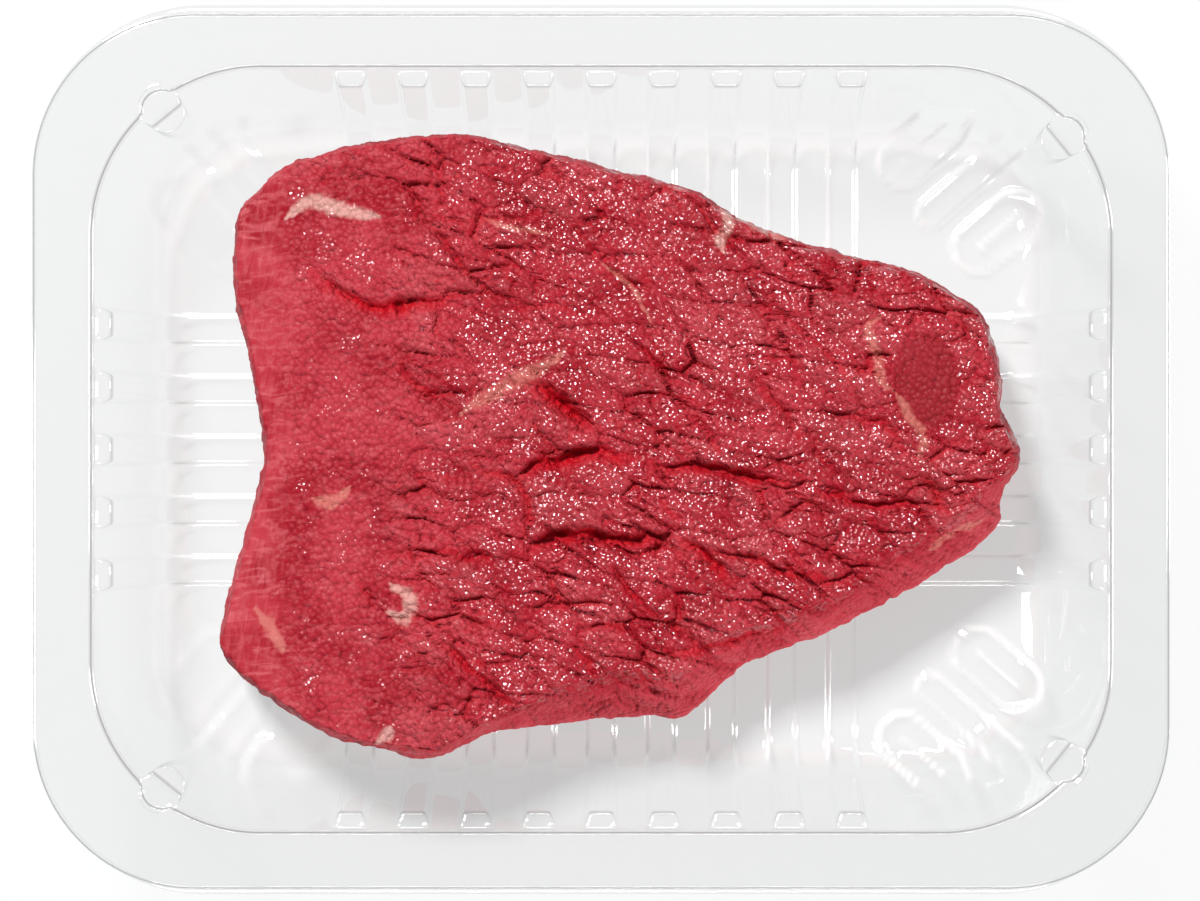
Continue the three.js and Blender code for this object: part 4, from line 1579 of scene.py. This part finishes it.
# The steak's outline in millimetres, clockwise from the upper left
STEAK_OUTLINE = (
    (-75.5, 43.5), (-75, 48.5), (-69.5, 54.5), (-64, 59), (-55.5, 61.5), (-45.5, 63.5), (-30, 65),
    (-16.5, 62.5), (0, 58.5), (18.5, 53.5), (30, 47), (47.5, 41), (66, 36), (74, 31.5), (79.5, 26.5),
    (82.5, 13.5), (82.5, 8.5), (85.5, 2), (86.5, -3), (82.5, -10), (82, -15.5), (77, -20.5),
    (68, -26.5), (57.5, -32), (43.5, -39), (29, -45), (16.5, -55.5), (10.5, -55), (-8, -56.5),
    (-24.5, -59), (-34, -63.5), (-47.5, -61.5), (-55.5, -59), (-64, -54.5), (-76, -45), (-78.5, -41),
    (-78, -35), (-76, -27.5), (-72, -12.5), (-69.5, -2), (-70.5, 6.5), (-73, 20.5), (-75.5, 33),
)

# Each direction in degrees from +X, and how far the top face's edge lies inside the outline there
SHOULDERS = (
    (-180, 1.8), (-130, 2.2), (-112, 4.0), (-100, 8.5), (-85, 10.5), (-70, 9.5), (-57, 8.0), (-43, 7.8),
    (-33, 7.2), (-28, 8.8), (-21, 12.5), (-16, 13.0), (-11, 10.5), (-7, 6.0), (-3, 3.0), (5, 2.2),
    (60, 1.8), (120, 1.8), (180, 1.8),
)


@dataclass(frozen=True)
class FlakeSet:
    """One size of flakes: their breadth, unevenness, edge, height and tilt, and their random draw."""

    skewed: bool
    scale: float
    jitter: float
    width: float
    height: float
    tilt: float
    seed: int


FLAKE_SETS = (
    FlakeSet(True, 1.2, 0.75, 0.26, 1.8, 1.9, 101),
    FlakeSet(True, 0.62, 0.8, 0.3, 0.8, 0.9, 211),
    FlakeSet(False, 0.3, 0.85, 0.5, 0.16, 0.25, 307),
)


@dataclass
class Steak:
    """The thick raw steak: rounded sides, a top face of flakes split by crevices, and a flat base."""

    low: Vector
    high: Vector
    layers: int = 128
    crown: float = 1.0
    edge_below_top: float = 3.4
    waist: float = 12.0
    flake_length: float = 11.0
    flake_width: float = 8.0
    flake_lean: float = -52.0
    flake_level: float = -9.0
    steep_side: float = 0.55
    gentle_side: float = 1.45
    full_shade_depth: float = 3.2
    resting: float = 3.0
    evening: int = 30
    undercut: Route = (
        (7.0, 0.0), (5.4, 0.35), (4.0, 1.0), (2.9, 2.0), (1.8, 3.4), (1.0, 5.0), (0.4, 7.0), (0.08, 8.8),
    )
    bulge: Route = ((0, 0), (0.06, 0.2), (0.42, 0.58), (0.74, 0.86), (1, 1))
    patch_middle: tuple[float, float] = (66, 14)
    patch_shape: tuple[float, float] = (0.85, 1.25)
    patch_edge: tuple[float, float] = (9, 6.5)
    wander: tuple[float, float] = (3.4, 1.1)
    crevice_taper: tuple[float, float] = (0.55, 0.25)
    crevice_power: float = 1.8
    lip_place: float = 1.3
    lip_spread: float = 0.5
    lip_share: float = 0.1
    warp: tuple[float, float] = (11.0, 1.6)
    seam_wander: tuple[float, float] = (2.3, 0.6)
    seam_taper: tuple[float, float] = (0.5, 0.2)
    wide_shoulder: tuple[float, float] = (3.0, 6.5)
    facing_up: tuple[float, float] = (0.25, 0.75)
    top_band: tuple[float, float] = (5.5, 0.6)
    side_band: tuple[float, float] = (0.5, 4.0)
    off_base: float = 6.0
    fibre_x: tuple[float, float] = (-34, -50)
    fibre_y: tuple[float, float] = (62, 50)
    left_band: tuple[float, float] = (-60, -70)
    calm_x: tuple[float, float] = (-12, -45)
    slot: str = "raw_beef"
    node: str = "steak"

    def __post_init__(self) -> None:
        """Reads the heights from the CAD node's box."""
        self.base = self.low.z / MM
        self.edge = self.high.z / MM - self.edge_below_top

    def shoulder(self, places: np.ndarray) -> np.ndarray:
        """How far the top face's edge lies inside the outline.

        Args:
            places: points on the outline, two numbers a row.

        Returns:
            The inset at each point.
        """
        table = np.array(SHOULDERS)
        direction = np.degrees(np.arctan2(places[:, 1], places[:, 0]))
        return np.interp(direction, table[:, 0], table[:, 1])

    def side_rings(self, outline: np.ndarray) -> list[np.ndarray]:
        """The steak's side, from its base up to the top face's edge.

        Args:
            outline: even points of the outline, clockwise from above.

        Returns:
            Rings of x, y and height.
        """
        reach = np.hypot(outline[:, 0], outline[:, 1])[:, None]
        inwards = -outline / reach
        shoulder = self.shoulder(outline)
        weights = np.array([0.25, 0.5, 0.25])
        for _ in range(self.evening):
            padded = np.concatenate([shoulder[-1:], shoulder, shoulder[:1]])
            shoulder = np.convolve(padded, weights, "valid")
        level = np.ones(len(outline))
        rings = []
        for inset, rise in self.undercut:
            rings.append(np.column_stack([outline + inwards * inset, (self.base + rise) * level]))
        rise_top = self.edge - self.waist
        for share, rise in Curves.smooth(np.array(self.bulge), False, 4):
            places = outline + inwards * (shoulder * share)[:, None]
            rings.append(np.column_stack([places, (self.waist + rise_top * rise) * level]))
        return rings

    def top_rings(self, edge: np.ndarray) -> list[np.ndarray]:
        """The top face as square rings, each with eight points fewer than the one outside it.

        Args:
            edge: the ring at the top face's edge.

        Returns:
            Rings of x, y and height.
        """
        count = len(edge)
        rings = []
        for layer in range(self.layers - 1, 0, -1):
            share = layer / self.layers
            place = np.arange(8 * layer) * (count / (8 * layer))
            first = np.floor(place).astype(int)
            part = (place - first)[:, None]
            ring = edge[first % count] * (1 - part) + edge[(first + 1) % count] * part
            rise = self.crown * (1 - share**5)
            flat = ring[:, :2] * share
            rings.append(np.column_stack([flat, np.full(len(flat), self.edge + rise)]))
        rings.append(np.array([[0, 0, self.edge + self.crown]]))
        return rings

    @staticmethod
    def square_ring(
        start: int, length: int, quarter: np.ndarray | int, step: np.ndarray | int
    ) -> np.ndarray:
        """The numbers of a square ring's points.

        Args:
            start: the number of the ring's first point.
            length: how many points each of its four quarters has.
            quarter: which quarter is wanted.
            step: how far along that quarter.

        Returns:
            The points' numbers.
        """
        return start + (quarter * length + step) % (4 * length)

    def faces(self, side_count: int, count: int) -> list[np.ndarray]:
        """The faces between all rings.

        Args:
            side_count: how many rings the side has.
            count: how many points each of them has.

        Returns:
            Quads and triangles.
        """
        place = np.arange(count)
        after = np.roll(place, -1)
        quads = []
        for ring in range(side_count - 1):
            low, high = ring * count, (ring + 1) * count
            quads.append(np.stack([place + low, place + high, after + high, after + low], axis=1))
        triangles = []
        start = (side_count - 1) * count
        quarters = np.arange(4)
        for layer in range(self.layers, 1, -1):
            outer_side, inner_side = 2 * layer, 2 * layer - 2
            inner_start = start + 4 * outer_side
            outer = partial(self.square_ring, start, outer_side)
            inner = partial(self.square_ring, inner_start, inner_side)
            before, corner = outer(quarters + 3, outer_side - 1), outer(quarters, 0)
            triangles.append(np.stack([before, inner(quarters, 0), corner], axis=1))
            triangles.append(np.stack([corner, inner(quarters, 0), outer(quarters, 1)], axis=1))
            steps = np.arange(inner_side)
            for quarter in quarters:
                near, far = outer(quarter, steps + 1), outer(quarter, steps + 2)
                inside = [inner(quarter, steps), inner(quarter, steps + 1)]
                quads.append(np.stack([near, *inside, far], axis=1))
            start = inner_start
        middle = start + 8
        ring = np.arange(8)
        triangles.append(np.stack([start + ring, np.full(8, middle), start + (ring + 1) % 8], axis=1))
        triangles.append(np.stack([place, after, np.full(count, middle + 1)], axis=1))
        return [np.vstack(quads), np.vstack(triangles)]

    @staticmethod
    def taper(along: np.ndarray, power: float, least: float) -> np.ndarray:
        """How broad a line is at each share of its way, from least at its ends to 1."""
        return np.maximum(np.sin(np.pi * np.clip(along, 0.02, 0.98)) ** power, least)

    def crevices(self, flat: np.ndarray) -> tuple[np.ndarray, np.ndarray]:
        """The named splits.

        Args:
            flat: places on the top face, two numbers a row.

        Returns:
            How deep each place lies in a split, and how dark the split's painted shade is there.
        """
        size, reach = self.wander
        places = flat + Noise.stray(flat, size, (41, 53)) * reach
        broken = 0.55 + 0.45 * smoothstep(-0.3, 0.2, Noise.layered(flat / 5, 59))
        depth = np.zeros(len(flat))
        dark = np.zeros(len(flat))
        for split in SPLITS:
            line = Curves.smooth(np.array(split.route, float), False, 6)
            distance, along, side = Curves.nearness(places, line, 4 * split.reach)
            LOG.debug("crevice %s: %d points", split.name, np.isfinite(distance).sum())
            taper = self.taper(along, *self.crevice_taper)
            near = distance / (split.reach * np.where(side > 0, self.steep_side, self.gentle_side))
            wedge = np.clip(1 - near, 0, 1) ** self.crevice_power * broken
            lip = np.exp(-(((near - self.lip_place) / self.lip_spread) ** 2)) * self.lip_share
            depth = np.maximum(depth, split.depth * taper * wedge) - split.depth * taper * lip
            # painted shade, darker where the split is deeper
            shade_share = min(split.depth / self.full_shade_depth, 1.0)
            dark = np.maximum(dark, np.clip(1.2 - near * 2, 0, 1) * taper * shade_share)
        return depth, dark

    def flakes(self, flat: np.ndarray) -> tuple[np.ndarray, np.ndarray, np.ndarray]:
        """The scale-like flakes of the coarse grain.

        Args:
            flat: places on the top face, two numbers a row.

        Returns:
            The relief, how near each place is to a flake's edge, and how pale its flake is.
        """
        size, reach = self.warp
        warp = Noise.stray(flat, size, (11, 23)) * reach
        ways = [math.radians(self.flake_lean), math.radians(self.flake_level)]
        basis = np.array([[math.cos(way), math.sin(way)] for way in ways]).T
        sizes = np.array([self.flake_width, self.flake_length])
        relief = np.zeros(len(flat))
        edges = np.zeros(len(flat))
        tint = np.zeros(len(flat))
        strength = 0.3 + 0.7 * smoothstep(-0.3, 0.5, Noise.layered(flat / 9, 401))
        skewed = (flat + warp) @ np.linalg.inv(basis).T / sizes
        upright = (flat + 0.6 * warp) / self.flake_width
        for kind in FLAKE_SETS:
            places = skewed if kind.skewed else upright
            edge, way, share = Noise.cells(places / kind.scale, kind.seed, kind.jitter)
            dip = (1 - np.clip(edge / kind.width, 0, 1)) ** 3
            dome = np.sqrt(np.clip(edge / 0.5, 0, 1))
            relief += 0.35 * kind.height * dome - kind.height * dip * strength
            relief += kind.tilt * (share - 0.5) * way[:, 0] + kind.tilt * 0.6 * (0.5 - share) * way[:, 1]
            edges = np.maximum(edges, dip * min(kind.height, 1.0) * strength)
            tint += 0.5 * kind.scale * share
        return relief, np.clip(edges, 0, 1), tint

    def fibres(self, points: np.ndarray) -> np.ndarray:
        """The fine wavy fibres of the smooth left part.

        Args:
            points: three numbers a row.

        Returns:
            The relief at each place.
        """
        flat = points[:, :2] + np.column_stack([Noise.layered(points[:, :2] / 12, 61)] * 2) * 3
        upright = Noise.layered(np.column_stack([flat[:, 0] / 1.1, flat[:, 1] / 7]), 71, 2)
        level = Noise.layered(np.column_stack([flat[:, 0] / 7, flat[:, 1] / 1.7]), 83, 2)
        edge = smoothstep(-58, -70, points[:, 0])
        return 0.22 * upright * (0.3 + 0.7 * edge) + 0.24 * level * (1 - edge)

    def relief(
        self, points: np.ndarray, facing: np.ndarray
    ) -> tuple[np.ndarray, np.ndarray, dict[str, np.ndarray]]:
        """All of the steak's relief, and what its finish needs to know.

        Args:
            points: the smooth steak's points.
            facing: the way each point faces.

        Returns:
            How far each point moves outwards, how far it rises, and the layers for the finish.
        """
        flat = points[:, :2]
        wide = smoothstep(*self.wide_shoulder, self.shoulder(flat))
        top = smoothstep(*self.facing_up, facing[:, 2])
        below_edge = self.edge - np.array([*self.top_band, *self.side_band])
        high = smoothstep(*below_edge[:2], points[:, 2])
        wavy = flat[:, 0] + 4 * Noise.layered(flat / 8, 5)
        fibre = smoothstep(*self.fibre_x, wavy) * smoothstep(*self.fibre_y, flat[:, 1])
        off_patch = (flat - self.patch_middle) / self.patch_shape
        patch = smoothstep(*self.patch_edge, np.hypot(off_patch[:, 0], off_patch[:, 1]))
        coarse = (1 - fibre) * (1 - 0.8 * patch)
        split_depth, dark = self.crevices(flat)
        flake, edges, tint = self.flakes(flat)
        broad = 0.9 * Noise.layered(flat / 19, 7) + 0.5 * Noise.layered(flat / 7, 9)
        rise = high * (broad + coarse * flake - split_depth)
        grain = Noise.layered(points / 1.3, 31, 3)
        move = grain * (0.13 + 0.1 * coarse * high) * (1 - 0.7 * patch)
        sides = 1 - top
        low = smoothstep(*below_edge[2:], points[:, 2])
        move += self.fibres(points) * np.maximum(fibre, 0.5 * sides)
        lumps = 0.5 * Noise.layered(points / 6.5, 91) + 0.5 * Noise.layered(points / 2.4, 97)
        move += (0.3 + 0.7 * sides) * lumps
        move += sides * (1 - 0.6 * wide) * 0.4 * Noise.layered(points / 1.7, 103)
        off_base = smoothstep(self.waist, self.waist + self.off_base, points[:, 2])
        move += wide * (1 - high) * off_base * (0.9 * flake - 0.5 * split_depth)
        band = smoothstep(*self.left_band, flat[:, 0])
        on_top = high + 0.7 * wide * (1 - high)
        layers = {
            # painted shade in the splits and along the flakes' edges
            "crevice": np.clip(on_top * np.maximum(dark, 0.7 * coarse * edges), 0, 1),
            "fibre": np.clip(np.maximum(band, 0.5 * sides), 0, 1),
            "calm": np.clip(smoothstep(*self.calm_x, flat[:, 0]) + 1.5 * band, 0, 2.5),
            "tint": np.maximum(high, wide) * tint * coarse + 0.35 * fibre,
            # the sides, painted paler partly as painted light, and left less glossy
            "side": np.maximum(smoothstep(0.3, 0.9, sides), wide * low) * (0.25 + 0.75 * wide),
            "patch": patch * top,
        }
        layers.update(self.seams(flat))
        return move, rise, layers

    def seams(self, flat: np.ndarray) -> dict[str, np.ndarray]:
        """Where fat and tissue show.

        Args:
            flat: places on the steak, two numbers a row.

        Returns:
            The share of fat and of tissue at each place.
        """
        size, reach = self.seam_wander
        places = flat + Noise.stray(flat, size, (131, 137)) * reach
        shares = {"fat": np.zeros(len(flat)), "seam": np.zeros(len(flat))}
        for seam in SEAMS:
            line = Curves.smooth(np.array(seam.route, float), False, 6)
            distance, along, _ = Curves.nearness(places, line, 4 * seam.half)
            LOG.debug("seam %s: %d points", seam.name, np.isfinite(distance).sum())
            near = distance / (seam.half * self.taper(along, *self.seam_taper))
            share = np.clip(1.35 - 0.8 * near, 0, 1)
            name = "fat" if seam.fatty else "seam"
            shares[name] = np.maximum(shares[name], share)
        return shares

    def build(self) -> bpy.types.Object:
        """Makes the steak's mesh and dresses it.

        Returns:
            The steak's object.
        """
        curve = Curves.smooth(np.array(STEAK_OUTLINE, float), True, 12)
        outline = Curves.even(curve, 8 * self.layers)
        side = self.side_rings(outline)
        top = self.top_rings(side[-1])
        base = np.array([[0, 0, self.base]])
        points = np.vstack([*side, *top, base])
        made = MeshMaker.make("raw_steak", points, self.faces(len(side), len(outline)))
        facing = MeshMaker.normals(made)
        move, rise, layers = self.relief(points, facing)
        resting = smoothstep(self.base, self.base + self.resting, points[:, 2])
        points = points + facing * (move * resting)[:, None]
        points[:, 2] += rise
        points[:, 2] = np.maximum(points[:, 2], self.base)
        MeshMaker.move(made, points)
        for name, values in layers.items():
            MeshMaker.paint(made, name, values)
        made.data.materials.append(RawBeef().make())
        MeshMaker.place(made, self.node, self.slot)
        return made


class Reach(Enum):
    """What a light acts on: its matt light and its reflection, as two switches."""

    ALL = (True, True)
    GLOSS_ONLY = (False, True)
    MATT_ONLY = (True, False)


@dataclass
class Softbox:
    """A rectangular studio light that faces the tray, in metres, and how bright its face is."""

    name: str
    place: tuple[float, float, float]
    size: tuple[float, float]
    brightness: float
    reach: Reach = Reach.ALL
    only: str = ""

    def build(self) -> bpy.types.Object:
        """Makes the light, which acts on one piece alone where only names it.

        That piece has to be there already.

        Returns:
            The light's object.
        """
        lamp = bpy.data.lights.new(self.name, "AREA")
        lamp.shape = "RECTANGLE"
        lamp.size, lamp.size_y = self.size
        lamp.energy = self.brightness * math.pi * self.size[0] * self.size[1]
        made = bpy.data.objects.new(self.name, lamp)
        bpy.context.scene.collection.objects.link(made)
        made.location = self.place
        made.rotation_mode = "QUATERNION"
        made.rotation_quaternion = (-Vector(self.place)).to_track_quat("-Z", "Y")
        made.visible_diffuse, made.visible_glossy = self.reach.value
        made.visible_camera = False
        if self.only:
            chosen = bpy.data.collections.new(self.name + "_receivers")
            chosen.objects.link(bpy.data.objects[self.only])
            made.light_linking.receiver_collection = chosen
        return made


@dataclass
class Studio:
    """The plain pale floor, the soft light and the camera, in metres."""

    floor_half: float = 6.0
    floor_drop: float = 0.0004
    sky: float = 0.3
    mirrored_low: float = 0.18
    mirrored_top: float = 0.05
    mirror_band: tuple[float, float] = (0.3, 0.9)
    clear_bounces: int = 12
    bounces: int = 3
    eye_height: float = 0.84
    eye_shift: tuple[float, float] = (-0.0002, -0.0002)
    lens: float = 120.0
    sensor: float = 36.0
    lights: tuple[Softbox, ...] = (
        Softbox("key", (-1.2, 2.07, 2.85), (0.65, 0.65), 195.0),
        Softbox("key_veil", (-1.22, 2.1, 2.9), (1.9, 1.9), 16.0, Reach.GLOSS_ONLY, "raw_steak"),
        Softbox("fill", (1.8, -2.1, 0.45), (2.0, 2.0), 15.0, Reach.MATT_ONLY, "raw_steak"),
        Softbox("left_strip", (-1.2, -0.1, 0.55), (0.3, 1.0), 14.0, Reach.GLOSS_ONLY, "formed_tray"),
        Softbox("back_strip", (0.1, 1.2, 0.6), (1.0, 0.3), 14.0, Reach.GLOSS_ONLY, "formed_tray"),
        Softbox("right_strip", (1.2, 0.1, 0.6), (0.3, 1.0), 14.0, Reach.GLOSS_ONLY, "formed_tray"),
        Softbox("front_strip", (0.0, -1.2, 0.6), (1.0, 0.3), 14.0, Reach.GLOSS_ONLY, "formed_tray"),
    )

    def floor(self) -> bpy.types.Object:
        """Makes the floor.

        Returns:
            The floor's object.
        """
        half, drop = self.floor_half / MM, -self.floor_drop / MM
        signs = ((-1, -1), (1, -1), (1, 1), (-1, 1))
        corners = np.array([(x * half, y * half, drop) for x, y in signs])
        made = MeshMaker.make("studio_floor", corners, [np.array([[0, 1, 2, 3]])])
        made.data.materials.append(PaleFloor().make())
        return made

    def surround(self) -> None:
        """Lights the scene evenly from all round."""
        world = bpy.data.worlds.new("pale_room")
        world.use_nodes = True
        nodes, links = world.node_tree.nodes, world.node_tree.links
        even = nodes["Background"]
        even.inputs["Color"].default_value = (1, 1, 1, 1)
        even.inputs["Strength"].default_value = self.sky
        mirrored = nodes.new("ShaderNodeBackground")
        mirrored.inputs["Color"].default_value = (1, 1, 1, 1)
        upward = nodes.new("ShaderNodeSeparateXYZ")
        links.new(nodes.new("ShaderNodeTexCoord").outputs["Generated"], upward.inputs[0])
        fading = nodes.new("ShaderNodeMapRange")
        fading.interpolation_type = "SMOOTHSTEP"
        links.new(upward.outputs["Z"], fading.inputs["Value"])
        numbers = (*self.mirror_band, self.mirrored_low, self.mirrored_top)
        for name, number in zip(("From Min", "From Max", "To Min", "To Max"), numbers):
            fading.inputs[name].default_value = number
        links.new(fading.outputs["Result"], mirrored.inputs["Strength"])
        picked = nodes.new("ShaderNodeMixShader")
        links.new(nodes.new("ShaderNodeLightPath").outputs["Is Glossy Ray"], picked.inputs[0])
        links.new(even.outputs[0], picked.inputs[1])
        links.new(mirrored.outputs[0], picked.inputs[2])
        links.new(picked.outputs[0], nodes["World Output"].inputs["Surface"])
        scene = bpy.context.scene
        scene.world = world
        scene.view_settings.view_transform = "Standard"
        scene.cycles.transparent_max_bounces = self.clear_bounces
        scene.cycles.max_bounces = self.bounces
        scene.cycles.diffuse_bounces = 1
        scene.cycles.glossy_bounces = 1
        scene.cycles.caustics_reflective = False
        scene.cycles.caustics_refractive = False

    def camera(self) -> bpy.types.Object:
        """Makes the camera, straight above the tray.

        Returns:
            The camera's object.
        """
        made = bpy.data.objects.new("camera", bpy.data.cameras.new("camera"))
        made.data.lens = self.lens
        made.data.sensor_width = self.sensor
        made.location = (*self.eye_shift, self.eye_height)
        made.rotation_euler = (0, 0, 0)
        bpy.context.scene.collection.objects.link(made)
        bpy.context.scene.camera = made
        return made

    def build(self) -> None:
        """Makes the whole studio."""
        self.floor()
        self.surround()
        for light in self.lights:
            light.build()
        self.camera()


def main() -> None:
    """Builds the tray and the steak, reports each of them, and builds the studio round them."""
    logging.basicConfig(level=logging.INFO, format="%(name)s: %(message)s")
    for sub_assembly in (Tray(*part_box(Tray.node)), Steak(*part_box(Steak.node))):
        piece = sub_assembly.build()
        mesh = piece.data
        LOG.info("%s: %d points, %d faces", piece.name, len(mesh.vertices), len(mesh.polygons))
    Studio().build()


if __name__ == "__main__":
    main()
